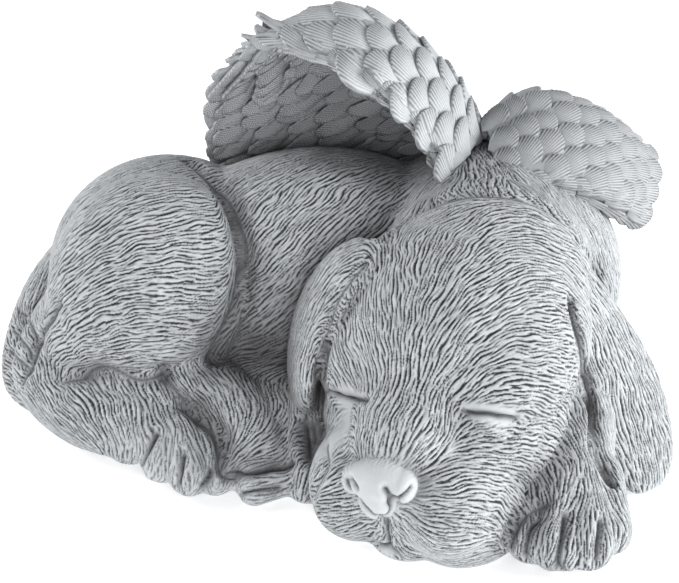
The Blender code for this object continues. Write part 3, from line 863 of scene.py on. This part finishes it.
def coat_cover(points):
    """1 where the coat is carved, falling to 0 on the smooth spots and the underside."""
    cover = ramp(points[:, 2], 0.2 * MM, 1.5 * MM)
    for place, radius in SOFT_SPOTS:
        apart = np.linalg.norm(points - metres(place), axis=1) / (radius * MM)
        cover *= 1 - SOFTENING * np.exp(-apart ** 4)
    for place, radius in SMOOTH_SPOTS:
        apart = np.linalg.norm(points - metres(place), axis=1) / (radius * MM)
        cover *= 1 - np.exp(-apart ** 4)
    return cover


cover = coat_cover(skin_points) * (1 - line_shade)
for lid, _, _ in LIDS:
    apart = line_distance(skin_points, laid_on(lid, skin_tree)) / LID_WIDTH
    cover *= 1 - np.exp(-apart ** 4)
print("share of the skin with a coat:", round(float((cover > 0.5).mean()), 3))

# %% Grooves and ridges
# A lock wavers to each side, by up to a millimetre, with a wave of about this length
WAVER = 1 * MM
WAVE = 6 * MM

sideways = np.cross(skin_normals, lie)
waver = (random_values(skin_points, WAVE)[:, None] - 0.5) * 2 * WAVER
locks = streaks(skin_points + sideways * waver, lie, sideways, LOCK_WIDTH, HALF_LOCK_LENGTH)
groove = ramp(-locks, -0.2, 1.0) * cover
ridge = ramp(locks, 0.0, 1.5) * cover
write_points(skin, skin_points + skin_normals * (ridge * RIDGE_HEIGHT - groove * GROOVE_DEPTH)[:, None])
# The grooves and the pressed lines are also painted dark as shade, through this mask
groove = np.maximum(groove, line_shade)
print("share of the skin in grooves:", round(float((groove > 0.5).mean()), 2))

# %% [markdown]
# ## Where shade is painted
# The grooves and the hollows are painted dark, as painted shade on top of the shading the lamps give.
# A recess sees little of the sky, so rays go out from each small patch of skin, and the share that
# meets the casting says how deep it lies and how dark it is painted. One patch is a cell of three
# millimetres, which keeps the rays few, and the result is then spread smoothly over the skin.

# %% How much of the sky each patch sees
PATCH = 3 * MM
SKY_REACH = 45 * MM
SKY_RAYS = 40
# The corner between the near ear and the muzzle is the darkest place of all, and gets a spot of painted
# shadow
DEEP_CORNER = metres((-9, -30, 22))
DEEP_CORNER_RADIUS = 9 * MM
# What has no coat, the smooth spots, the lids and the creases, is darkened a little
UNCOATED_DARKENING = 0.14


def sky_directions(count):
    """Directions spread evenly over a ball."""
    steps = np.arange(count) + 0.5
    height = 1 - 2 * steps / count
    turn = steps * math.pi * (1 + math.sqrt(5))
    across = np.sqrt(1 - height ** 2)
    return np.stack([across * np.cos(turn), across * np.sin(turn), height], axis=1)


def blocked_sky(points, normals, tree):
    """The share of the rays from each point's patch that meet the casting."""
    cells = np.floor(points / PATCH).astype(np.int64)
    facing = (normals > 0).astype(np.int64)
    key = ((cells[:, 0] * 4096 + cells[:, 1]) * 4096 + cells[:, 2]) * 8 + facing @ [4, 2, 1]
    _, first, patch = np.unique(key, return_index=True, return_inverse=True)
    rays = sky_directions(SKY_RAYS)
    shares = np.zeros(len(first))
    for k, i in enumerate(first):
        start = points[i] + normals[i] * 0.8 * MM
        above = rays[rays @ normals[i] > 0.1]
        met = [tree.ray_cast(Vector(start), Vector(ray), SKY_REACH)[0] is not None for ray in above]
        shares[k] = sum(met) / len(met)
    return shares[patch.ravel()], len(first)


def spread(values, mesh, rounds):
    """The values after so many rounds of taking the mean of their neighbours."""
    edges = np.empty(len(mesh.edges) * 2, np.int32)
    mesh.edges.foreach_get("vertices", edges)
    ends = edges.reshape(-1, 2)
    count = len(values)
    shared = np.bincount(edges, minlength=count)
    for _ in range(rounds):
        values = (np.bincount(ends[:, 0], values[ends[:, 1]], count)
                  + np.bincount(ends[:, 1], values[ends[:, 0]], count)) / shared
    return values


casting_tree = tree_of(skin, near_core, far_core)
blocked, patches = blocked_sky(skin_points, skin_normals, casting_tree)
blocked = spread(blocked, skin, 16)
# Painted shade: the more of the sky a patch's rays find blocked, the darker it is painted
hollow_shade = ramp(blocked, 0.12, 0.75)
# A spot of painted shadow in the deep corner
apart = np.linalg.norm(skin_points - DEEP_CORNER, axis=1) / DEEP_CORNER_RADIUS
hollow_shade = np.maximum(hollow_shade, np.exp(-apart ** 4))
# The skin without coat is darkened a little with the same colour
hollow_shade = np.maximum(hollow_shade, UNCOATED_DARKENING * (1 - cover))
print("patches:", patches, "blocked sky, share by tenths:",
      np.round(np.percentile(blocked, range(0, 101, 10)), 2))


# %% Keeping the painted shade with the mesh
def mark(mesh, name, values):
    """Keeps a number for each point of a mesh, for its material to read."""
    layer = mesh.attributes.new(name, "FLOAT", "POINT")
    layer.data.foreach_set("value", np.asarray(values, np.float32))


# The material paints shade dark where these numbers are high
mark(skin, "groove", groove)
mark(skin, "hollow_shade", hollow_shade)
mark(skin, "coat", cover)
lie_layer = skin.attributes.new("lie", "FLOAT_VECTOR", "POINT")
lie_layer.data.foreach_set("vector", lie.astype(np.float32).ravel())
print("the wash lies in", round(float((hollow_shade > 0.5).mean()), 2), "of the skin")

# %% [markdown]
# ## The stone
# Stone resin is pale, cool grey and quite matt, with a fine grain and a little cloudiness. The
# material mixes this stone, which is a little clouded, with painted shade: a dark in the grooves and
# a warmer dark in the hollows. The carving left a number for each at every point, and the mix
# follows those, so the painted shade sits exactly in the relief. Between the grooves lie single hairs:
# noise averaged over a few steps along the coat. A long feather has barbs on both sides of its shaft:
# a wave across a number that its mesh keeps. Grain, hairs and barbs are far too fine to be faces, so
# they darken the stone a little and feed a bump; hairs and barbs are darkest where that bump is low.

# %% Writing materials as sums
class Wire:
    """A value in a material, which sums and products can be written with."""

    def __init__(self, tree, socket=None):
        self.tree = tree
        self.socket = socket

    def node(self, kind, inputs=(), settings=(), out=0):
        """A new node: its settings first, then its sockets' values or links."""
        made = self.tree.nodes.new(kind)
        for name, value in dict(settings).items():
            setattr(made, name, value)
        for name, value in dict(inputs).items():
            if isinstance(value, Wire):
                self.tree.links.new(value.socket, made.inputs[name])
            else:
                made.inputs[name].default_value = value
        return Wire(self.tree, made.outputs[out])

    def maths(self, operation, other=0.0, clamp=False):
        """One of Blender's Math operations on this value and another."""
        settings = {"operation": operation, "use_clamp": clamp}
        return self.node("ShaderNodeMath", {0: self, 1: other}, settings)

    def __add__(self, other):
        return self.maths("ADD", other)

    def __mul__(self, other):
        return self.maths("MULTIPLY", other)

    __radd__ = __add__
    __rmul__ = __mul__

    def clamped(self):
        return self.maths("ADD", clamp=True)

    def wave(self):
        """Rises and falls between 0 and 1 once for each whole step of this value."""
        return (2 * math.pi * self).maths("SINE") * 0.5 + 0.5

    def kept(self, name, out="Fac"):
        """What the mesh keeps at each point under a name."""
        return self.node("ShaderNodeAttribute", settings={"attribute_name": name}, out=out)

    def noise(self, scale, detail):
        """Noise at this place, with so many waves in a metre."""
        return self.node("ShaderNodeTexNoise", {"Vector": self, "Scale": scale, "Detail": detail})

    def moved(self, direction, distance):
        """This place moved a distance along a direction."""
        return self.node("ShaderNodeVectorMath", {0: direction, 1: (distance,) * 3, 2: self},
                         {"operation": "MULTIPLY_ADD"})

    def mix(self, share, first, second):
        """A colour between two colours."""
        return self.node("ShaderNodeMix", {0: share, 6: first, 7: second},
                         {"data_type": "RGBA"}, out=2)


def grey(red, green, blue):
    """A colour from its red, green and blue as a screen shows them, 0 to 255."""
    return tuple((c / 255 / 12.92) if c / 255 < 0.04045 else ((c / 255 + 0.055) / 1.055) ** 2.4
                 for c in (red, green, blue)) + (1.0,)


# %% Cast stone
RIDGE_STONE = grey(217, 221, 224)
# Painted shade: the dark of the grooves and the warmer dark of the hollows
GROOVE_SHADE_STONE = grey(46, 49, 52)
HOLLOW_SHADE_STONE = grey(66, 62, 63)
CLOUD_STONE = grey(192, 196, 199)
# How many clouds, specks and single hairs lie in a metre
CLOUDS = 60.0
SPECKS = 1400.0
HAIRS = 1300.0
# A hair is drawn in steps along the coat
HAIR_STEP = 0.5 * MM
HAIR_STEPS = range(-3, 4)
BUMP_HEIGHT = 0.25 * MM


def cast_stone():
    material = bpy.data.materials.new("cast_stone")
    material.use_nodes = True
    tree = material.node_tree
    shader = tree.nodes["Principled BSDF"]
    blank = Wire(tree)
    place = blank.node("ShaderNodeTexCoord", out="Object")
    groove = blank.kept("groove")
    hollow_shade = blank.kept("hollow_shade")
    cloud = place.noise(CLOUDS, 4.0)
    speck = place.noise(SPECKS, 3.0)
    coat = blank.kept("coat")
    lie = blank.kept("lie", out="Vector")
    hairs = [place.moved(lie, HAIR_STEP * step).noise(HAIRS, 1.0) for step in HAIR_STEPS]
    hair = (sum(hairs[1:], hairs[0]) * (5.5 / len(hairs)) + -2.25).clamped() * coat
    barbs = blank.kept("barb").wave()
    barbs = barbs * barbs * blank.kept("vane")
    stone = blank.mix(cloud, RIDGE_STONE, CLOUD_STONE)
    # Hairs and barbs are painted darker where their bump is low, as shade; the grain adds specks
    fine = 0.3 * hair + 0.6 * barbs + 0.12 * speck
    # Painted shade: grooves, lines, hairs and barbs darken towards the dark groove stone
    stone = blank.mix((groove * (0.55 + 0.6 * speck) + fine).clamped(), stone, GROOVE_SHADE_STONE)
    # Painted shade: hollows and the feathers' shade darken towards a warm dark stone
    stone = blank.mix((hollow_shade * (0.5 + 0.5 * cloud)).clamped(), stone, HOLLOW_SHADE_STONE)
    height = speck + -0.8 * hair + -0.8 * barbs
    bump = blank.node("ShaderNodeBump", {"Height": height, "Strength": 0.4, "Distance": BUMP_HEIGHT})
    tree.links.new(stone.socket, shader.inputs["Base Color"])
    tree.links.new(bump.socket, shader.inputs["Normal"])
    shader.inputs["Roughness"].default_value = 0.8
    shader.inputs["Specular IOR Level"].default_value = 0.35
    return material


stone = cast_stone()
print("material:", stone.name, "with", len(stone.node_tree.nodes), "nodes")

# %% [markdown]
# ## Cutting the skin into pieces
# One mesh of this fineness is too heavy for one file, so the skin is cut by flat planes into closed
# pieces. The planes are set where a crease or a plain stretch of coat hides the cut. The cut faces
# touch inside the stone, where nobody sees them, and their edges are sharp so that the shading
# outside doesn't turn in towards them.

# %% Cutting and closing
UNDERSIDE = 0.25 * MM


def cut(mesh, place, normal, name):
    """The part of a mesh behind a plane, closed with one flat face."""
    clay = bmesh.new()
    clay.from_mesh(mesh)
    everything = clay.verts[:] + clay.edges[:] + clay.faces[:]
    made = bmesh.ops.bisect_plane(clay, geom=everything, dist=1e-7, plane_co=place,
                                  plane_no=normal, clear_outer=True)
    rim = [e for e in made["geom_cut"] if isinstance(e, bmesh.types.BMEdge)]
    lids = bmesh.ops.holes_fill(clay, edges=rim)["faces"]
    for edge in rim:
        edge.smooth = False
    for lid in lids:
        lid.smooth = False
    part = bpy.data.meshes.new(name)
    clay.to_mesh(part)
    clay.free()
    return part


def add_piece(name, mesh):
    """Puts a finished mesh in the scene as a piece of the casting."""
    piece = bpy.data.objects.new(name, mesh)
    bpy.context.scene.collection.objects.link(piece)
    mesh.materials.clear()
    mesh.materials.append(stone)
    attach(piece, "root")
    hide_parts("sleeping_puppy")
    mesh.calc_loop_triangles()
    print(name, len(mesh.loop_triangles), "triangles")
    return piece


def halves(mesh, axis, place, low, high):
    """The two named parts of a mesh, below and above a place on an axis of the grid."""
    direction = Vector((axis == "x", axis == "y", 0))
    middle = metres(direction * place)
    return cut(mesh, middle, direction, low), cut(mesh, middle, -direction, high)


skin.shade_smooth()
stood = cut(skin, (0, 0, UNDERSIDE), (0, 0, -1), "stood")
hind, fore = halves(stood, "x", -28, "hind", "fore")
near_thigh, behind_thigh = halves(hind, "y", 12, "near_thigh", "behind_thigh")
tail_end, rump = halves(behind_thigh, "x", -72, "tail", "rump")
head_end, trunk_end = halves(fore, "y", 5, "head_end", "trunk_end")
muzzle, face_side = halves(head_end, "x", 28, "muzzle", "face_side")
cheek, brow = halves(face_side, "y", -38, "cheek_and_paw", "brow_and_ear")
flank, shoulders = halves(trunk_end, "x", 34, "flank", "shoulders")
for name, part in (("near_thigh", near_thigh), ("rump", rump), ("tail", tail_end), ("muzzle", muzzle),
                   ("cheek_and_paw", cheek), ("brow_and_ear", brow), ("shoulders", shoulders),
                   ("flank", flank)):
    add_piece(name, part)

# %% [markdown]
# ## Feathers
# The wings' outer sides carry rows of small round feathers, coverts, that overlap like roof tiles
# with their free ends towards the tip, and one more row runs along the leading edge. The lining under
# the wing and the row over its tip are longer, narrower feathers. Each feather is a thin closed shell,
# made from one flat grid whose rim is extruded down and closed. A covert has ribs that run to its rim,
# and a long feather has a shaft with barbs. Copies are then bent onto the wing, point by point, so
# that no feather floats or sinks.


# %% A feather's flat pattern
def feather_pattern(name, lengthwise, sideways):
    """A closed shell: x is the share of the length, y of the half width, z is 1 above and 0 below."""
    clay = bmesh.new()
    bmesh.ops.create_grid(clay, x_segments=lengthwise, y_segments=sideways, size=1.0)
    for vert in clay.verts:
        vert.co.x = (vert.co.x + 1) / 2
        vert.co.z = 1.0
    rim = [e for e in clay.edges if e.is_boundary]
    made = bmesh.ops.extrude_edge_only(clay, edges=rim)["geom"]
    lower = [v for v in made if isinstance(v, bmesh.types.BMVert)]
    bmesh.ops.translate(clay, verts=lower, vec=(0, 0, -1))
    bmesh.ops.holes_fill(clay, edges=[e for e in clay.edges if e.is_boundary])
    bmesh.ops.recalc_face_normals(clay, faces=clay.faces)
    pattern = bpy.data.meshes.new(name)
    clay.to_mesh(pattern)
    clay.free()
    return pattern


COVERT_COLUMNS = 24
LINING_ROWS = 10
covert_pattern = feather_pattern("covert", 2, COVERT_COLUMNS)
lining_pattern = feather_pattern("lining", LINING_ROWS, 4)
print("faces of a covert and of a lining feather:",
      len(covert_pattern.polygons), len(lining_pattern.polygons))


# %% Ribs and barbs
def covert_ribs(share, v):
    """Ridges and valleys of a covert, which run from its root to its rim."""
    column = np.round((v + 1) / 2 * COVERT_COLUMNS).astype(int)
    return np.where(column % 2 == 0, -1.0, 1.0) * (0.3 + 0.7 * share)


def lining_shaft(share, v):
    """A long feather is smooth but for the shaft down its middle."""
    return np.where(np.abs(v) < 0.1, 1.0, 0.0) * (1 - 0.6 * share)


# How many barbs a long feather has on each side, and how far they slant, as a share of its length
BARBS = 17
SLANT = 0.35

# Sizes in millimetres: a feather lifts off the wing from low at its root to high at its free end
COVERT = {"length": 15.0, "width": 13.4, "low": 0.4, "high": 2.1, "thick": 1.6, "rib": 0.15}
FAR_COVERT = {"length": 11.0, "width": 10.4, "low": 0.2, "high": 2.0, "thick": 1.3, "rib": 0.17}
EDGE_COVERT = {"length": 12.5, "width": 7.5, "low": 0.3, "high": 1.5, "thick": 1.6, "rib": 0.12}
LINING = {"length": 19.0, "width": 7.2, "low": 0.1, "high": 3.0, "thick": 1.6, "rib": 0.35}
TIP_FEATHER = {"length": 17.0, "width": 9.5, "low": 0.2, "high": 1.0, "thick": 1.3, "rib": 0.35}
print("covert:", COVERT["length"], "by", COVERT["width"], "mm")


# %% Bending a feather onto the wing
# Where the wing drops away by more than this, a feather runs straight on
LARGEST_DROP = 6 * MM


def height_above(tree, point, normal, reach=9 * MM):
    """How far above a point, along a normal, the wing's skin lies, or None."""
    place, facing, _, run = tree.ray_cast(Vector(point + normal * reach), Vector(-normal), 2 * reach)
    if place is None or facing.dot(Vector(normal)) < 0:
        return None
    return reach - run


def bend_feather(flat, tree, place, run, normal, shape):
    """The points of a feather's pattern laid on the wing, with its root at place."""
    sizes = {name: size * MM for name, size in shape.items()}
    side = np.cross(normal, run)
    share, v = flat[:, 0], flat[:, 1]
    reach = sizes["length"] * share * (0.48 + 0.52 * np.sqrt(1 - 0.98 * v ** 2))
    spread_out = sizes["width"] / 2 * v * (0.4 + 0.6 * share ** 0.7)
    lift = sizes["low"] + (sizes["high"] - sizes["low"]) * share ** 1.5 - 0.1 * sizes["width"] * v ** 2
    lift -= (1 - flat[:, 2]) * sizes["thick"] * (1 - 0.3 * share ** 2)
    spots = place + reach[:, None] * run + spread_out[:, None] * side
    middle = height_above(tree, place + run * sizes["length"] / 2, normal)
    if middle is None:
        middle = height_above(tree, place, normal) or 3 * MM
    grounds = []
    for spot in spots:
        ground = height_above(tree, spot, normal)
        dropped = ground is None or abs(ground - middle) > LARGEST_DROP
        grounds.append(middle if dropped else ground)
    return spots + normal * (np.array(grounds) + lift)[:, None]


def add_feathers(name, core, placed, shade, long=False):
    """All the placed feathers of one kind as one piece, with their grooves and barbs marked."""
    pattern, ribs = (lining_pattern, lining_shaft) if long else (covert_pattern, covert_ribs)
    flat = read_points(pattern).astype(float)
    tree = tree_of(core)
    clay = bmesh.new()
    for _ in placed:
        clay.from_mesh(pattern)
    mesh = bpy.data.meshes.new(name)
    clay.to_mesh(mesh)
    clay.free()
    upper = flat[:, 2] > 0.5
    relief = ribs(flat[:, 0], flat[:, 1]) * upper
    points = [bend_feather(flat, tree, place, run, normal, shape)
              + normal * (relief * shape["rib"] * MM)[:, None] for place, run, normal, shape in placed]
    write_points(mesh, np.concatenate(points))
    # Painted shade in the valleys between a covert's ribs, and on the walls and underside of every feather
    painted_shade = np.where(upper, np.clip(-relief, 0, 1) * 0.8, 0.35)
    mark(mesh, "groove", np.tile(painted_shade, len(placed)))
    # Each kind of feather is painted darker by its own amount of shade
    dark = np.full(len(placed), shade)
    if long:
        # The lining lies deepest in shade, painted darker where its root sees less sky, and each feather has
        # a shaft with barbs
        roots = np.array([place + normal * 4 * MM for place, _, normal, _ in placed])
        facings = np.array([normal for _, _, normal, _ in placed])
        dark += 0.6 * ramp(blocked_sky(roots, facings, casting_tree)[0], 0.3, 0.9)
        mark(mesh, "barb", np.tile(BARBS * (flat[:, 0] - SLANT * np.abs(flat[:, 1])), len(placed)))
        mark(mesh, "vane", np.tile(upper * 1.0, len(placed)))
    mark(mesh, "hollow_shade", np.repeat(np.clip(dark, 0, 1), len(flat)))
    mesh.shade_smooth()
    add_piece(name, mesh)


print("feathers are laid by rays onto the wings' sheets")


# %% Rows of coverts
# Along the span and across it, in millimetres
NEAR_GAPS = (9.0, 11.0)
FAR_GAPS = (6.6, 7.8)
# Hand work: no two feathers lie quite alike
wing_rng = np.random.default_rng(11)


def spaced(place, gap, offset):
    """Shares of a curve at even distances along it, in millimetres, starting a part of a gap in."""
    shares = np.linspace(0, 1, 41)
    points = np.array([place(share) for share in shares]) / MM
    lengths = np.append(0, np.cumsum(np.linalg.norm(np.diff(points, axis=0), axis=1)))
    count = max(1, round(lengths[-1] / gap))
    stops = lengths[-1] * (np.arange(count + 1) + offset) / count
    return np.interp(stops, lengths, shares)


def turned(run, across, degrees):
    angle = math.radians(degrees)
    return run * math.cos(angle) + across * math.sin(angle)


def varied(shape, amount):
    """A feather's sizes, all a little larger or smaller."""
    factor = 1 + amount * wing_rng.uniform(-1, 1)
    return {name: size * (factor if name in ("length", "width") else 1) for name, size in shape.items()}


def fitted(shape, net, side, place, chord, past=4.5):
    """A feather's sizes, shortened so that it ends a few millimetres past the wing's tip."""
    room = np.linalg.norm(on_sheet(net, side, 1, chord)[0] - place) / MM + past
    return {**shape, "length": min(shape["length"], room)}


def rows(net, side, shape, gaps, fan, spans=(0, 1), last_chord=1.0, loose=6, varies=0.06):
    """Ranks of feathers along the span, each set off by half a feather, that turn by a fan of degrees."""
    placed = []
    ranks = spaced(lambda s: on_sheet(net, side, s, 0.4)[0], gaps[0], 0)
    for rank, span in enumerate(ranks):
        if not spans[0] <= span <= spans[1]:
            continue
        for chord in spaced(lambda c: on_sheet(net, side, span, c)[0], gaps[1], 0.5 * (rank % 2)):
            if chord > last_chord:
                continue
            place, tipward, across, normal = on_sheet(net, side, span, chord)
            angle = fan[0] + (fan[1] - fan[0]) * span + loose * wing_rng.uniform(-1, 1)
            run = turned(tipward, across, angle)
            run = run - normal * run.dot(normal)
            sizes = fitted(varied(shape, varies), net, side, place, chord)
            placed.append((place, run / np.linalg.norm(run), normal, sizes))
    return placed


def edge_row(net, side, shape, gap, lean):
    """A row of feathers along the leading edge, facing outward from it as the lean in degrees says."""
    placed = []
    for span in spaced(lambda s: on_sheet(net, side, s, 0.0)[0], gap, 0.3)[:-1]:
        place, tipward, across, normal = on_sheet(net, side, span, 0.0)
        facing = turned(normal, -across, lean)
        facing = facing - tipward * facing.dot(tipward)
        sizes = fitted(varied(shape, 0.12), net, side, place, 0.0)
        placed.append((place, tipward, facing / np.linalg.norm(facing), sizes))
    return placed


def tip_row(net, side, shape, span, count):
    """A row of feathers that run out over a wing's tip."""
    placed = []
    for chord in np.linspace(0.2, 0.97, count):
        place, tipward, across, normal = on_sheet(net, side, span, chord)
        run = turned(tipward, across, 6 * wing_rng.uniform(-1, 1))
        placed.append((place, run, normal, fitted(varied(shape, 0.1), net, side, place, chord, 6)))
    return placed


near_coverts = rows(NEAR_WING, NEAR_SIDE, COVERT, NEAR_GAPS, (0, 0), spans=(0, 0.95))
near_coverts += edge_row(NEAR_WING, NEAR_SIDE, EDGE_COVERT, 6.5, 70)
add_feathers("near_wing_coverts", near_core, near_coverts, 0.05)
near_tips = tip_row(NEAR_WING, NEAR_SIDE, TIP_FEATHER, 0.9, 6)
near_tips += tip_row(NEAR_WING, -NEAR_SIDE, TIP_FEATHER, 0.92, 7)
add_feathers("near_wing_tips", near_core, near_tips, 0.1, long=True)
far_coverts = rows(FAR_WING, FAR_SIDE, FAR_COVERT, FAR_GAPS, (50, 10), spans=(0, 0.97), last_chord=0.9)
far_coverts += edge_row(FAR_WING, FAR_SIDE, FAR_COVERT, 7.0, 40)
add_feathers("far_wing_coverts", far_core, far_coverts, 0.25)

# %% The lining under each wing
NEAR_LINING_GAPS = (11.5, 5.8)
FAR_LINING_GAPS = (10, 6)

near_lining = rows(NEAR_WING, -NEAR_SIDE, LINING, NEAR_LINING_GAPS, (30, 15), spans=(0, 0.93),
                   loose=14, varies=0.14)
add_feathers("near_wing_lining", near_core, near_lining, 0.2, long=True)
far_lining = rows(FAR_WING, -FAR_SIDE, LINING, FAR_LINING_GAPS, (15, 10), spans=(0, 0.97),
                  loose=10, varies=0.1)
add_feathers("far_wing_lining", far_core, far_lining, 0.3, long=True)

# %% The sheets themselves
for name, core in (("near_wing", near_core), ("far_wing", far_core)):
    # The sheets lie under the feathers and are painted darker all over, as shade
    mark(core, "groove", np.full(len(core.vertices), 0.35))
    mark(core, "hollow_shade", np.full(len(core.vertices), 0.2))
    core.shade_smooth()
    add_piece(name, core)

# %% [markdown]
# ## Floor, light and camera
# A catalogue picture of a pale casting is lit from all round, so that even its shadows stay light:
# a white surrounding, three large soft lamps, the strongest on the right, and a white floor that
# glows a little. One lamp would be simpler, but it would leave the far side of each lock black. The
# camera looks down 32 degrees through a long lens, as the picture does.

# %% The floor
FLOOR_SIDE = 14.0


def plain_white():
    material = bpy.data.materials.new("plain_white")
    material.use_nodes = True
    shader = material.node_tree.nodes["Principled BSDF"]
    shader.inputs["Base Color"].default_value = (0.9, 0.9, 0.9, 1.0)
    shader.inputs["Roughness"].default_value = 0.9
    shader.inputs["Emission Color"].default_value = (1.0, 1.0, 1.0, 1.0)
    shader.inputs["Emission Strength"].default_value = 0.45
    return material


clay = bmesh.new()
bmesh.ops.create_grid(clay, x_segments=1, y_segments=1, size=FLOOR_SIDE / 2)
floor_mesh = bpy.data.meshes.new("floor")
clay.to_mesh(floor_mesh)
clay.free()
floor_mesh.materials.append(plain_white())
floor = bpy.data.objects.new("floor", floor_mesh)
bpy.context.scene.collection.objects.link(floor)
print("floor:", FLOOR_SIDE, "m square")

# %% The light
# What the lamps and the camera look at: above the grid's middle, at about half the height
TARGET = Vector(metres((0, 0, 55)))


def soft_lamp(name, place, size, power):
    lamp = bpy.data.objects.new(name, bpy.data.lights.new(name, "AREA"))
    lamp.data.size = size
    lamp.data.energy = power
    lamp.location = place
    lamp.rotation_mode = "QUATERNION"
    lamp.rotation_quaternion = (TARGET - Vector(place)).to_track_quat("-Z", "Y")
    bpy.context.scene.collection.objects.link(lamp)
    return lamp


soft_lamp("right_lamp", (0.95, -0.1, 0.35), 0.6, 10.5)
soft_lamp("left_lamp", (-0.85, 0.25, 0.5), 0.6, 6.5)
soft_lamp("front_lamp", (0.1, -1.0, 0.3), 0.7, 5.5)
world = bpy.data.worlds.new("white_room")
world.use_nodes = True
world.node_tree.nodes["Background"].inputs["Color"].default_value = (1, 1, 1, 1)
world.node_tree.nodes["Background"].inputs["Strength"].default_value = 0.4
bpy.context.scene.world = world
bpy.context.scene.view_settings.view_transform = "Standard"

# %% The camera
LENS = 100
DISTANCE = 0.603
ELEVATION = math.radians(32)

camera = bpy.data.objects.new("camera", bpy.data.cameras.new("camera"))
camera.data.lens = LENS
camera.data.sensor_width = 36
back_off = Vector((0, -math.cos(ELEVATION), math.sin(ELEVATION)))
camera.location = TARGET + back_off * DISTANCE
camera.rotation_mode = "QUATERNION"
camera.rotation_quaternion = (-back_off).to_track_quat("-Z", "Y")
bpy.context.scene.collection.objects.link(camera)
bpy.context.scene.camera = camera
print("camera at", tuple(round(c, 3) for c in camera.location))
